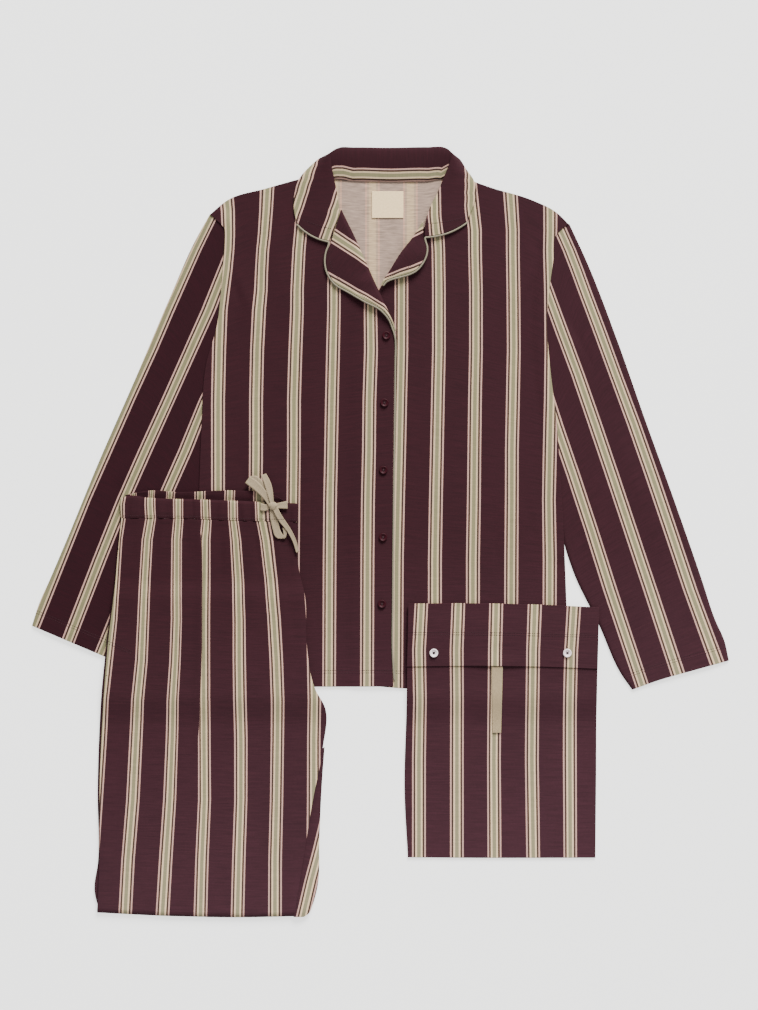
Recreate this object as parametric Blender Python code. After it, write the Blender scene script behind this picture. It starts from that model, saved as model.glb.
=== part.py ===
"""A striped pyjama set laid flat: a long-sleeved shirt with a notched collar, on it the
trousers folded in half lengthwise and once under at the knee, and a buttoned pouch.

All sizes are in millimetres and become metres in the mesh functions. X runs across the
shirt, +Y from the hem to the collar, +Z up from the surface that the set lies on.
An edge table has the columns x, y. A patch is one piece of cloth between four edges:
left and right run from foot to head, and foot and head list only the points between
the corners that left and right already give.
"""
import math
from collections import namedtuple

import bmesh
import bpy
import numpy as np

MM = 0.001

# Cloth and the stack of layers
WALL = 1.0                 # one layer of jersey with its pile of air
GAP = 0.35                 # between pieces that touch
TAPE_WALL = 1.0            # ribbon of the drawstring, the tab and the label
BAND_WALL = 2.2            # waistband: two layers round the elastic
BAND_WAVE = 0.8            # and its gathers
FRONT_REST = WALL + GAP    # underside of the shirt's fronts, on its back
LAP_LIFT = WALL + GAP      # the upper front climbs over the lower one
SIDE_LIFT = 1.8            # both fronts climb over the tucked edge of a sleeve
TUCK = 5.0                 # how far a sleeve's edge lies under the front
STACK_REST = 4.5           # underside of what lies on the shirt
STACK_FALL = (-217.0, -262.0)   # y where that underside starts and ends its way down
SLEEVE_EDGE = 2.7          # height of a flat sleeve at its folded edges
SLEEVE_RISE = 1.1          # and how much more in its middle
LEG_TOP = 2.4              # hidden layers of the trousers near the waist
LEG_KNEE = 5.0             # and below the hem that is folded under
LEG_HEM = (-62.0, -92.0)   # y across which the folded hem makes that step
LEG_GAP = 0.8              # air between the visible leg and the hidden layers
TAB_GAP = 0.8              # air under the pouch's hanging tab
LEG_ROUND = 1.4            # how far the hidden layers round down at their edges

# Fastenings and trims
BUTTON_WIDTH = 11.2
POUCH_BUTTON_WIDTH = 12.0
BUTTON_HEIGHT = 2.4
PIPING_WIDTH = 2.3
PIPING_GAP = 0.6           # from the edge's middle line, for the slope of its wall
PIPED_RISE = PIPING_WIDTH / 2.0 - WALL / 2.0   # a piped edge lies this much higher

Patch = namedtuple("Patch", "left right foot head")
Fold = namedtuple("Fold", "x0 y0 x1 y1 width height")
Spot = namedtuple("Spot", "x y")

SHIRT_BUTTONS = (
    Spot(8.0, 266.0),
    Spot(5.5, 175.2),
    Spot(4.0, 84.4),
    Spot(3.5, -6.4),
    Spot(2.0, -96.4),
)
POUCH_BUTTONS = (
    Spot(72.0, -162.5),
    Spot(252.0, -162.5),
)
PLACKET_TURN = Spot(19.9, 262.0)   # where the piping steps down over the placket's edge

SIDE_LEFT = (
    (-248.5, -205.0), (-248.0, -100.0), (-245.0, 58.5), (-241.5, 145.0), (-235.5, 227.5),
    (-221.0, 279.0), (-215.0, 330.0), (-211.5, 385.0), (-212.0, 412.0), (-221.0, 421.5),
    (-230.0, 429.5),
)
SIDE_RIGHT = (
    (253.0, -206.0), (251.5, -100.0), (245.0, 44.0), (237.5, 152.0), (228.5, 230.0),
    (225.0, 282.0), (229.0, 335.5), (234.0, 372.0), (236.0, 399.0), (244.5, 409.5),
    (254.0, 416.5),
)
PLACKET_EDGE = (
    (17.5, -208.0), (14.8, -165.0), (15.0, -91.0), (17.2, 118.0), (17.9, 176.0),
    (18.4, 230.0), (18.6, 254.0), (6.0, 299.0), (-15.0, 347.5), (-38.0, 396.0),
    (-59.5, 441.0), (-74.0, 486.5),
)
UNDER_EDGE = (
    (-16.0, -207.0), (-15.5, -91.0), (-13.5, 111.5), (-11.5, 253.0), (-9.0, 305.0),
    (-4.0, 323.0), (4.0, 337.5), (17.0, 354.0), (42.0, 388.0), (65.5, 422.5), (83.0, 458.0), (105.5, 481.5),
)
FRONT_OVER = Patch(
    left=SIDE_LEFT,
    right=PLACKET_EDGE,
    foot=((-175.5, -208.0), (-67.5, -208.5)),
    head=((-206.5, 449.0), (-154.0, 465.0), (-100.0, 480.0)),
)
FRONT_UNDER = Patch(
    left=UNDER_EDGE,
    right=SIDE_RIGHT,
    foot=((36.0, -211.0), (135.0, -210.5)),
    head=((152.5, 465.0), (205.0, 449.0), (237.5, 432.5)),
)
BACK_INSET = TUCK + 5.5    # the back stops short of the tucked sleeves
BACK_TIP_LEFT = (-208.0, 427.0)
BACK_TIP_RIGHT = (231.0, 421.0)
BACK_NECK = (
    (-196.0, 446.0), (-154.0, 462.0), (-104.0, 476.0), (-76.0, 483.0), (-62.0, 479.5),
    (-40.0, 477.5), (13.5, 476.5), (66.0, 477.0), (90.0, 481.0), (106.0, 479.0),
    (152.5, 462.0), (198.0, 446.0), (220.0, 433.0),
)
SLEEVE_LEFT = Patch(
    left=(
        (-230.5, 430.0), (-250.0, 395.0), (-286.0, 314.0), (-332.0, 206.0), (-379.5, 98.0),
        (-424.0, -10.0), (-447.0, -64.0), (-462.0, -98.0), (-471.0, -126.0),
    ),
    right=(
        (-215.0, 300.0), (-220.0, 272.0), (-230.5, 227.5), (-236.5, 145.0), (-240.5, 58.5),
        (-246.5, 15.0), (-262.0, -44.0), (-304.0, -118.0), (-346.0, -179.0),
    ),
    foot=((-219.0, 429.0), (-210.0, 417.0), (-207.5, 385.0), (-209.5, 340.0)),
    head=(),
)
SLEEVE_RIGHT = Patch(
    left=(
        (221.0, 300.0), (220.0, 268.0), (224.0, 230.0), (233.0, 152.0), (240.0, 44.0),
        (247.0, -10.0), (260.5, -53.0), (295.5, -125.5), (326.5, -193.5), (340.0, -212.5),
    ),
    right=(
        (255.5, 416.5), (278.0, 368.0), (320.0, 260.0), (358.0, 152.0), (397.0, 44.0),
        (434.5, -64.0), (452.5, -118.0), (465.0, -146.5), (471.0, -173.0),
    ),
    foot=((223.0, 340.0), (229.0, 388.0), (231.5, 408.0), (242.5, 417.5)),
    head=((378.0, -199.0), (424.0, -186.0)),
)
LAPEL_LEFT = Patch(
    left=(
        (-67.0, 390.0), (-72.0, 378.0), (-72.2, 356.0), (-61.3, 337.1), (-43.2, 326.1),
        (-20.3, 312.6), (0.6, 301.6), (12.2, 288.9), (19.0, 273.0),
    ),
    right=(
        (-53.0, 436.0), (-46.0, 422.0), (-26.5, 380.5), (-12.0, 347.5), (5.5, 309.5),
        (16.0, 287.0), (21.5, 271.5),
    ),
    foot=(),
    head=(),
)
LAPEL_RIGHT = Patch(
    left=(
        (57.5, 420.0), (43.0, 397.5), (26.8, 376.5), (12.5, 353.5), (5.6, 343.3), (0.5, 334.0),
    ),
    right=(
        (57.5, 396.0), (61.5, 385.0), (61.0, 376.0), (56.0, 364.5), (47.5, 354.5), (38.0, 349.5),
        (24.0, 345.5), (13.5, 342.5), (6.0, 338.5), (2.0, 333.0),
    ),
    foot=(),
    head=(),
)
LEG_FRONT = Patch(
    left=(
        (-349.5, 19.0), (-353.2, -17.0), (-360.3, -92.0), (-366.0, -137.0), (-371.0, -192.0),
        (-374.0, -234.0), (-377.2, -290.0), (-379.0, -347.5), (-379.0, -400.0), (-380.0, -453.0),
        (-382.5, -513.0),
    ),
    right=(
        (-111.5, 14.0), (-110.5, -46.5), (-101.5, -88.0), (-99.5, -150.0), (-88.0, -211.0),
        (-74.5, -236.5), (-77.5, -290.0), (-91.5, -363.0), (-103.5, -438.0),
        (-116.0, -518.0),
    ),
    foot=((-279.5, 19.0), (-202.5, 16.0)),
    head=((-291.5, -517.5), (-194.5, -519.5)),
)
LEG_BACK = Patch(
    left=(
        (-76.0, -293.0), (-85.2, -343.0), (-95.0, -391.0), (-106.0, -467.0), (-114.6, -519.0),
    ),
    right=(
        (-75.5, -289.5), (-79.0, -341.0), (-81.5, -415.0), (-86.5, -484.0), (-103.5, -519.0),
    ),
    foot=(),
    head=(),
)
LEG_UNDER = Patch(
    left=(
        (-349.5, 35.0), (-355.5, -42.0), (-368.0, -136.0), (-377.0, -225.0),
        (-382.0, -347.5), (-381.5, -445.0), (-386.3, -484.0), (-380.5, -509.0),
    ),
    right=(
        (-113.5, 35.0), (-112.5, -46.5), (-103.8, -93.0), (-101.8, -150.0),
        (-91.0, -209.0), (-78.5, -236.5), (-79.5, -300.0), (-83.5, -404.0),
        (-89.5, -480.0), (-110.0, -511.0),
    ),
    foot=((-270.0, 35.5), (-190.0, 35.5)),
    head=((-291.5, -513.0), (-194.5, -514.0)),
)
BAND_FRONT = Patch(
    left=((-349.5, 19.7), (-351.5, 45.0)),
    right=((-111.5, 14.7), (-110.5, 39.0)),
    foot=((-279.5, 19.7), (-202.5, 16.7)),
    head=((-340.0, 49.5), (-315.0, 47.0), (-243.0, 44.5), (-166.0, 41.5)),
)
BAND_BACK = Patch(
    left=((-346.5, 37.5), (-344.0, 50.5)),
    right=((-114.0, 37.5), (-117.5, 46.0)),
    foot=((-270.0, 37.5), (-190.0, 37.5)),
    head=((-331.5, 53.0), (-316.0, 56.0), (-270.0, 54.5), (-193.0, 56.5), (-140.0, 53.0)),
)
POUCH_BACK = Patch(
    left=((38.5, -98.0), (36.0, -230.0), (33.8, -361.0), (38.0, -437.5)),
    right=((294.0, -102.5), (292.0, -186.0), (290.5, -330.0), (289.5, -438.0)),
    foot=((218.5, -99.5),),
    head=((129.0, -438.2),),
)
POUCH_FRONT = Patch(
    left=((36.5, -128.0), (35.0, -240.0), (32.5, -350.0), (37.0, -439.0)),
    right=((294.0, -132.0), (292.0, -240.0), (291.5, -330.0), (290.5, -439.5)),
    foot=((150.0, -128.5),),
    head=((129.0, -439.7),),
)
POUCH_FLAP = Patch(
    left=((35.5, -181.0), (36.8, -138.0), (37.5, -96.0)),
    right=((293.0, -184.0), (294.2, -134.0), (295.0, -101.0)),
    foot=((146.0, -180.0), (230.5, -181.5)),
    head=((110.0, -95.5), (218.5, -97.5)),
)
TAB_EDGES = Patch(
    left=((150.0, -180.8), (151.5, -270.5)),
    right=((165.0, -180.8), (163.0, -270.5)),
    foot=(),
    head=(),
)
LABEL_EDGES = Patch(
    left=((-11.5, 425.0), (-11.5, 461.0)),
    right=((31.0, 425.0), (31.0, 461.0)),
    foot=(),
    head=(),
)

# Soft swells of the laid cloth, highest along the middle of each line
SHIRT_FOLDS = (
    Fold(-196.0, 372.0, -160.0, 250.0, 26.0, 1.3),
    Fold(-150.0, 430.0, -128.0, 300.0, 30.0, 0.9),
    Fold(-110.0, 250.0, -95.0, 60.0, 34.0, 0.8),
    Fold(196.0, 372.0, 168.0, 250.0, 26.0, 1.3),
    Fold(160.0, 430.0, 138.0, 300.0, 30.0, 0.9),
    Fold(150.0, 180.0, 120.0, -20.0, 34.0, 0.9),
    Fold(70.0, 300.0, 64.0, 120.0, 28.0, 0.7),
    Fold(-190.0, 200.0, -170.0, 80.0, 30.0, 0.9),
)
SLEEVE_FOLDS = (
    Fold(-232.0, 300.0, -262.0, 250.0, 16.0, 1.6),
    Fold(-300.0, 180.0, -380.0, 0.0, 26.0, 0.9),
    Fold(236.0, 300.0, 268.0, 240.0, 16.0, 1.5),
    Fold(318.0, 140.0, 388.0, -40.0, 26.0, 0.9),
)
LEG_FOLDS = (
    Fold(-239.0, -5.0, -244.0, -290.0, 12.0, 1.7),
    Fold(-326.0, 0.0, -338.0, -110.0, 20.0, 0.9),
    Fold(-285.0, -10.0, -292.0, -90.0, 16.0, 0.8),
    Fold(-180.0, -10.0, -170.0, -120.0, 18.0, 1.0),
    Fold(-140.0, -20.0, -125.0, -150.0, 18.0, 0.9),
    Fold(-200.0, -330.0, -195.0, -490.0, 30.0, 0.8),
    Fold(-330.0, -230.0, -335.0, -420.0, 26.0, 0.8),
)
POUCH_FOLDS = (
    Fold(90.0, -240.0, 84.0, -400.0, 40.0, 0.8),
    Fold(230.0, -230.0, 238.0, -400.0, 40.0, 0.8),
)

# The collar, a row for each section from the left leaf round the neck to the right leaf:
# fall is its outer edge, roll its fold, seam the edge sewn to the shirt. crest_fall and
# crest_seam are the heights that the cloth reaches for on each side of the fold, and
# spread is how far from the fold it does so, as a share of that side.
Neck = namedtuple("Neck", "fall_x fall_y fall_z crest_fall roll_x roll_y roll_z "
                          "crest_seam seam_x seam_y seam_z spread bow")
COLLAR = (
    Neck(-112.0, 417.5, 3.9, 4.6, -69.5, 394.0, 3.9, 3.9, -70.5, 394.5, 3.4, 0.00, -4.0),
    Neck(-115.0, 425.5, 3.9, 5.8, -64.0, 407.0, 4.4, 3.6, -68.0, 409.0, 3.4, 0.00, -2.0),
    Neck(-117.2, 441.0, 3.9, 7.8, -56.5, 434.0, 5.0, 3.4, -67.0, 438.0, 3.4, 0.00, 0.0),
    Neck(-116.0, 458.0, 3.9, 8.6, -59.0, 458.0, 5.4, 3.4, -72.0, 460.0, 3.4, 0.00, 0.0),
    Neck(-110.0, 477.0, 3.9, 9.8, -63.0, 478.0, 6.4, 3.4, -74.0, 474.0, 3.4, 0.08, 0.0),
    Neck(-95.0, 494.5, 2.2, 11.5, -66.5, 497.0, 8.6, 6.4, -72.0, 480.0, 3.4, 0.25, 0.0),
    Neck(-76.0, 508.0, 0.8, 11.5, -66.0, 512.5, 9.4, 9.6, -64.0, 477.5, 2.1, 0.30, 0.0),
    Neck(-58.0, 502.0, 0.6, 3.5, -55.0, 519.0, 7.4, 11.0, -54.0, 476.5, 2.1, 0.10, 0.0),
    Neck(-36.0, 490.0, 0.6, 0.6, -36.0, 519.5, 5.4, 11.0, -37.0, 475.0, 2.1, 0.00, 0.0),
    Neck(13.5, 490.0, 0.6, 0.6, 13.5, 519.0, 5.4, 11.0, 13.5, 474.0, 2.1, 0.00, 0.0),
    Neck(63.0, 490.0, 0.6, 0.6, 63.0, 519.8, 5.4, 11.0, 63.0, 474.5, 2.1, 0.00, 0.0),
    Neck(88.0, 502.0, 0.6, 3.5, 86.0, 519.2, 7.4, 11.0, 81.0, 477.5, 2.1, 0.10, 0.0),
    Neck(103.0, 507.0, 0.8, 11.5, 94.5, 513.0, 9.4, 9.6, 92.0, 478.5, 2.1, 0.30, 0.0),
    Neck(116.5, 489.5, 2.2, 11.5, 92.5, 496.0, 8.6, 6.4, 101.0, 479.0, 3.4, 0.25, 0.0),
    Neck(126.5, 474.5, 3.9, 9.8, 85.0, 477.0, 6.4, 3.4, 99.0, 471.0, 3.4, 0.08, 0.0),
    Neck(130.0, 458.0, 3.9, 8.6, 78.0, 460.0, 5.4, 3.4, 92.0, 458.0, 3.4, 0.00, 0.0),
    Neck(125.5, 441.0, 3.9, 7.8, 67.5, 439.0, 5.0, 3.4, 79.0, 440.0, 3.4, 0.00, 0.0),
    Neck(120.0, 427.0, 3.9, 5.8, 60.5, 415.0, 4.4, 3.6, 66.0, 416.0, 3.4, 0.00, 2.5),
    Neck(117.0, 420.5, 3.9, 4.6, 59.8, 400.0, 3.9, 3.9, 61.0, 400.5, 3.4, 0.00, 5.0),
)

FALL_STEPS = 5             # steps across the fall of a collar section

# The bow of the drawstring: each band is a row of stations from the knot to its end
Station = namedtuple("Station", "ax ay bx by z")
BOW_EAR_LEFT = (
    Station(-150.5, 36.0, -146.0, 41.0, 2.0),
    Station(-157.5, 45.5, -151.5, 52.0, 2.4),
    Station(-167.0, 54.5, -159.0, 62.5, 2.4),
    Station(-176.0, 61.8, -168.0, 71.0, 1.2),
    Station(-182.4, 66.8, -176.2, 75.6, -0.4),
)
BOW_EAR_UNDER = (
    Station(-150.5, 39.0, -146.0, 44.0, 0.9),
    Station(-158.0, 50.0, -152.0, 58.0, 0.6),
    Station(-167.0, 60.5, -160.5, 71.0, -0.2),
    Station(-174.5, 67.0, -168.0, 76.5, -0.9),
    Station(-181.5, 67.8, -175.6, 76.0, -1.3),
)
BOW_EAR_UP = (
    Station(-148.5, 38.5, -143.5, 39.5, 3.4),
    Station(-150.2, 45.0, -144.0, 46.0, 3.4),
    Station(-153.2, 54.5, -145.0, 56.5, 2.8),
    Station(-157.3, 67.5, -148.8, 70.0, 1.4),
    Station(-161.0, 77.0, -154.2, 79.6, -0.2),
)
BOW_EAR_RIGHT = (
    Station(-143.0, 32.5, -143.0, 38.5, 2.6),
    Station(-134.0, 32.3, -134.0, 40.8, 3.0),
    Station(-125.0, 31.7, -125.2, 42.6, 2.0),
)
BOW_EAR_LOW = (
    Station(-150.0, 31.0, -150.0, 37.0, 1.0),
    Station(-157.0, 28.6, -156.6, 38.4, 0.7),
    Station(-162.0, 29.5, -161.5, 39.5, 0.3),
)
BOW_TAIL_WIDE = (
    Station(-149.0, 33.0, -141.5, 34.0, 1.6),
    Station(-149.2, 24.0, -140.2, 24.5, 1.1),
    Station(-147.5, 13.0, -137.5, 14.0, 0.6),
    Station(-144.5, 1.0, -134.6, 2.5, 0.4),
    Station(-142.2, -5.2, -130.5, -4.6, 0.4),
    Station(-138.5, -8.0, -128.6, -8.6, 0.4),
)
BOW_TAIL_TURN = (
    Station(-132.5, -8.3, -127.6, -7.0, 1.0),
    Station(-130.6, -2.0, -126.3, -1.5, 1.3),
    Station(-132.2, 6.0, -128.0, 7.5, 1.3),
)
BOW_TAIL_NARROW = (
    Station(-146.0, 34.0, -139.5, 36.5, 3.2),
    Station(-142.5, 25.5, -136.0, 29.0, 3.4),
    Station(-136.6, 15.2, -130.6, 19.6, 3.0),
    Station(-126.5, 2.6, -121.6, 6.2, 2.6),
    Station(-117.5, -14.2, -113.3, -11.2, 1.3),
    Station(-113.4, -27.5, -109.8, -26.0, 0.8),
)
KNOT_CENTRE = Spot(-145.0, 36.0)
KNOT_SIZE = (12.5, 11.5, 6.0)

COLOURS = {
    "burgundy": (0.056, 0.019, 0.023),
    "burgundy_deep": (0.048, 0.017, 0.020),
    "piping_green": (0.30, 0.26, 0.18),
    "button_burgundy": (0.060, 0.012, 0.016),
    "button_white": (0.72, 0.69, 0.66),
    "tape_beige": (0.50, 0.44, 0.32),
    "label_cream": (0.66, 0.58, 0.46),
    "wrong_side": (0.45, 0.38, 0.32),
}


def clear_scene():
    """Remove every object that the scene starts with."""
    for item in list(bpy.data.objects):
        bpy.data.objects.remove(item)


def material(name, roughness):
    """Principled material in one of the set's colours, made once."""
    made = bpy.data.materials.get(name)
    if made:
        return made
    made = bpy.data.materials.new(name)
    made.use_nodes = True
    shader = made.node_tree.nodes["Principled BSDF"]
    shader.inputs["Base Color"].default_value = (*COLOURS[name], 1.0)
    shader.inputs["Roughness"].default_value = roughness
    return made


def ramp(value, start, end):
    """Smooth step from 0 at start to 1 at end."""
    share = np.clip((value - start) / (end - start), 0.0, 1.0)
    return share * share * (3.0 - 2.0 * share)


def smooth_rows(rows, places):
    """Rows at the given shares of the way along a smooth curve through a table."""
    rows = np.array(rows, dtype=float)
    steps = np.linalg.norm(np.diff(rows, axis=0), axis=1)
    knots = np.concatenate(([0.0], np.cumsum(steps)))
    if len(rows) == 2:
        return rows[0] * (1.0 - places[:, None]) + rows[1] * places[:, None]
    slopes = np.gradient(rows, knots, axis=0)
    places = places * knots[-1]
    lower = np.clip(np.searchsorted(knots, places, side="right") - 1, 0, len(steps) - 1)
    span = steps[lower][:, None]
    t = (places[:, None] - knots[lower][:, None]) / span
    start = (2 * t**3 - 3 * t**2 + 1) * rows[lower] + (t**3 - 2 * t**2 + t) * span * slopes[lower]
    end = (3 * t**2 - 2 * t**3) * rows[lower + 1] + (t**3 - t**2) * span * slopes[lower + 1]
    return start + end


def shares(count, rim=()):
    """Even shares from 0 to 1, with more of them close to both ends."""
    even = np.linspace(0.0, 1.0, count + 1)
    return np.sort(np.concatenate((even, rim, 1.0 - np.array(rim))))


def patch_plan(patch, across, along, side_rim=(), end_rim=()):
    """Plan points of a patch: rows from foot to head, each from left to right."""
    across = shares(across, side_rim)
    along = shares(along, end_rim)
    left = smooth_rows(patch.left, along)
    right = smooth_rows(patch.right, along)
    foot = smooth_rows((patch.left[0], *patch.foot, patch.right[0]), across)
    head = smooth_rows((patch.left[-1], *patch.head, patch.right[-1]), across)
    u = across[None, :, None]
    v = along[:, None, None]
    sides = left[:, None, :] * (1.0 - u) + right[:, None, :] * u
    ends = foot[None, :, :] * (1.0 - v) + head[None, :, :] * v
    low = foot[0] * (1.0 - u) + foot[-1] * u
    high = head[0] * (1.0 - u) + head[-1] * u
    return sides + ends - low * (1.0 - v) - high * v


def distance_to(edge, x, y):
    """Plan distance from each point to an edge table's curve."""
    curve = smooth_rows(edge, shares(160))
    apart = np.hypot(x[..., None] - curve[:, 0], y[..., None] - curve[:, 1])
    return apart.min(axis=-1)


def swell(folds, x, y):
    """Height of the soft folds at plan points."""
    total = np.zeros_like(x)
    for fold in folds:
        length = math.hypot(fold.x1 - fold.x0, fold.y1 - fold.y0)
        ux = (fold.x1 - fold.x0) / length
        uy = (fold.y1 - fold.y0) / length
        run = np.clip((x - fold.x0) * ux + (y - fold.y0) * uy, 0.0, length)
        off = np.hypot(x - fold.x0 - run * ux, y - fold.y0 - run * uy)
        crest = 0.35 + 0.65 * np.sin(math.pi * run / length)
        total += fold.height * crest * (1.0 - ramp(off, 0.0, fold.width))
    return total


def stack_rest(y):
    """Underside of the pieces that lie on the shirt and, below its hem, beside it."""
    return STACK_REST * (1.0 - ramp(-y, -STACK_FALL[0], -STACK_FALL[1]))


def free_of_stack(x, y):
    """1 where nothing lies on the shirt, 0 under the trousers and the pouch."""
    trousers = ramp(-x, 84.0, 108.0) * ramp(-x, 382.0, 350.0) * ramp(-y, -76.0, -60.0)
    pouch = ramp(x, 18.0, 34.0) * ramp(x, 316.0, 300.0) * ramp(-y, 76.0, 92.0)
    return (1.0 - trousers) * (1.0 - pouch)


def front_rest(side, x, y):
    """Underside of a front: over the back, the tucked sleeve and, at the lap, the other."""
    edge = SIDE_LEFT if side == "over" else SIDE_RIGHT
    near = distance_to(edge, x, y)
    tucked = (1.0 - ramp(near, 9.0, 24.0)) * ramp(y, -48.0, -24.0)
    rest = FRONT_REST + SIDE_LIFT * tucked
    clear = ramp(near, 8.0, 30.0) * ramp(y, -205.0, -180.0) * free_of_stack(x, y)
    clear *= ramp(np.hypot(x - 12.0, y - 440.0), 125.0, 160.0) + ramp(y, 300.0, 270.0)
    rest = rest + swell(SHIRT_FOLDS, x, y) * np.clip(clear, 0.0, 1.0)
    if side == "over":
        rest = rest + LAP_LIFT * ramp(x, -50.0, -28.0) * ramp(y, 354.0, 336.0)
    return rest


def leg_height(x, y):
    """Thickness of the hidden layers under the visible leg."""
    return LEG_TOP + (LEG_KNEE - LEG_TOP) * ramp(-y, -LEG_HEM[0], -LEG_HEM[1])


def add_object(name, verts, faces, look, roughness=0.85, smooth=True):
    """Closed mesh object from points in millimetres."""
    mesh = bpy.data.meshes.new(name)
    mesh.from_pydata([tuple(value * MM for value in vert) for vert in verts], [], faces)
    bm = bmesh.new()
    bm.from_mesh(mesh)
    bmesh.ops.recalc_face_normals(bm, faces=bm.faces)
    for face in bm.faces:
        face.smooth = smooth
    bm.to_mesh(mesh)
    bm.free()
    mesh.materials.append(material(look, roughness))
    item = bpy.data.objects.new(name, mesh)
    bpy.context.collection.objects.link(item)
    return item


def sheet_solid(name, under, over, look, roughness=0.85):
    """Solid between two grids of points with the same rows and columns."""
    rows, columns = under.shape[:2]
    verts = np.concatenate((under.reshape(-1, 3), over.reshape(-1, 3)))
    top = rows * columns
    faces = []
    for j in range(rows - 1):
        for i in range(columns - 1):
            a = j * columns + i
            b = a + columns
            faces.append((a, b, b + 1, a + 1))
            faces.append((top + a, top + a + 1, top + b + 1, top + b))
    rim = [i for i in range(columns)]
    rim += [j * columns + columns - 1 for j in range(1, rows)]
    rim += [(rows - 1) * columns + i for i in range(columns - 2, -1, -1)]
    rim += [j * columns for j in range(rows - 2, 0, -1)]
    for here, there in zip(rim, rim[1:] + rim[:1]):
        faces.append((here, there, top + there, top + here))
    return add_object(name, verts.tolist(), faces, look, roughness)


def lay(plan, rest, wall):
    """Grids of a cloth's underside and top at the given resting height."""
    rest = np.broadcast_to(rest, plan.shape[:2])
    under = np.dstack((plan, rest))
    over = np.dstack((plan, rest + wall))
    return under, over


def thicken(centre, wall):
    """Grids half a wall to each side of a grid of points, along its normals."""
    along = np.gradient(centre, axis=0)
    across = np.gradient(centre, axis=1)
    normal = np.cross(across, along)
    normal /= np.linalg.norm(normal, axis=2, keepdims=True)
    return centre - normal * wall / 2.0, centre + normal * wall / 2.0


def shirt_back():
    """The back, flat on the surface, with the neck's curve between the shoulders."""
    left = [(x + BACK_INSET, y) for x, y in SIDE_LEFT[:-2]] + [BACK_TIP_LEFT]
    right = [(x - BACK_INSET, y) for x, y in SIDE_RIGHT[:-2]] + [BACK_TIP_RIGHT]
    patch = Patch(left, right, ((0.0, -208.0),), BACK_NECK)
    plan = patch_plan(patch, 24, 9)
    sheet_solid("shirt_back", *lay(plan, 0.0, WALL), "wrong_side")


def shirt_fronts():
    """The two fronts; the wearer's right one laps over the other and holds the buttons."""
    for name, patch, side in (
        ("shirt_front_over", FRONT_OVER, "over"),
        ("shirt_front_under", FRONT_UNDER, "under"),
    ):
        plan = patch_plan(patch, 12, 22, side_rim=(0.03,))
        rest = front_rest(side, plan[..., 0], plan[..., 1])
        sheet_solid(name, *lay(plan, rest, WALL), "burgundy")


def sleeve(name, patch, outer_first):
    """A flattened tube of cloth, open at the armhole and the cuff."""
    across = 6
    plan = patch_plan(patch, across, 16, end_rim=(0.025,))
    armhole = (patch.left[0], *patch.foot, patch.right[0])
    edge_steps = (0.0, 0.45, 1.6)
    edge_share = (0.5, 0.9, 1.0)
    outer_rings = []
    inner_rings = []
    for row in plan:
        start = row[0]
        end = row[-1]
        width = float(np.linalg.norm(end - start))
        to_start = (row[1] - start) / np.linalg.norm(row[1] - start)
        to_end = (row[-2] - end) / np.linalg.norm(row[-2] - end)
        points = [(start + to_start * step, share) for step, share in zip(edge_steps, edge_share)]
        points += [(row[i], 1.0) for i in range(1, across)]
        points += [(end + to_end * step, share)
                   for step, share in zip(edge_steps[::-1], edge_share[::-1])]
        last = len(points) - 1
        tops = []
        cores = []
        for place, (point, share) in enumerate(points):
            off_start = float(np.linalg.norm(point - start))
            off_end = float(np.linalg.norm(point - end))
            inside = off_end if outer_first else off_start
            px = np.array([point[0]])
            py = np.array([point[1]])
            inside = min(inside, distance_to(armhole, px, py)[0])
            rise = SLEEVE_RISE * ramp(inside, 12.0, 60.0) * ramp(min(off_start, off_end), 0.0, 30.0)
            free = ramp(inside, 12.0, 40.0) * ramp(min(off_start, off_end), 0.0, 16.0)
            free *= free_of_stack(px, py)[0]
            height = SLEEVE_EDGE + rise + swell(SLEEVE_FOLDS, px, py)[0] * free
            tops.append((point[0], point[1], height * share, height * (1.0 - share)))
            core = point
            if place == 0:
                core = start + to_start * WALL
            if place == last:
                core = end + to_end * WALL
            if place in (1, 2):
                core = start + to_start * (WALL + 0.5 * place)
            if place in (last - 1, last - 2):
                core = end + to_end * (WALL + 0.5 * (last - place))
            hollow = height - 2.0 * WALL
            cores.append((core[0], core[1], WALL + hollow * share, WALL + hollow * (1.0 - share)))
        outer_rings.append(ring_of(tops))
        inner_rings.append(ring_of(cores))
    tube_solid(name, outer_rings, inner_rings, "burgundy")


def ring_of(stations):
    """Ring over the top of the stations and back along their undersides."""
    upper = [(x, y, high) for x, y, high, low in stations]
    lower = [(x, y, low) for x, y, high, low in stations[-2:0:-1]]
    return upper + lower


def tube_solid(name, outer_rings, inner_rings, look):
    """Open tube with a wall between its outer and inner rings."""
    size = len(outer_rings[0])
    verts = [point for ring in outer_rings + inner_rings for point in ring]
    shift = len(outer_rings) * size
    faces = []
    for j in range(len(outer_rings) - 1):
        for i in range(size):
            a = j * size + i
            b = j * size + (i + 1) % size
            faces.append((a, b, b + size, a + size))
            faces.append((shift + a, shift + a + size, shift + b + size, shift + b))
    for start in (0, (len(outer_rings) - 1) * size):
        for i in range(size):
            a = start + i
            b = start + (i + 1) % size
            faces.append((a, b, shift + b, shift + a))
    return add_object(name, verts, faces, look)


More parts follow.
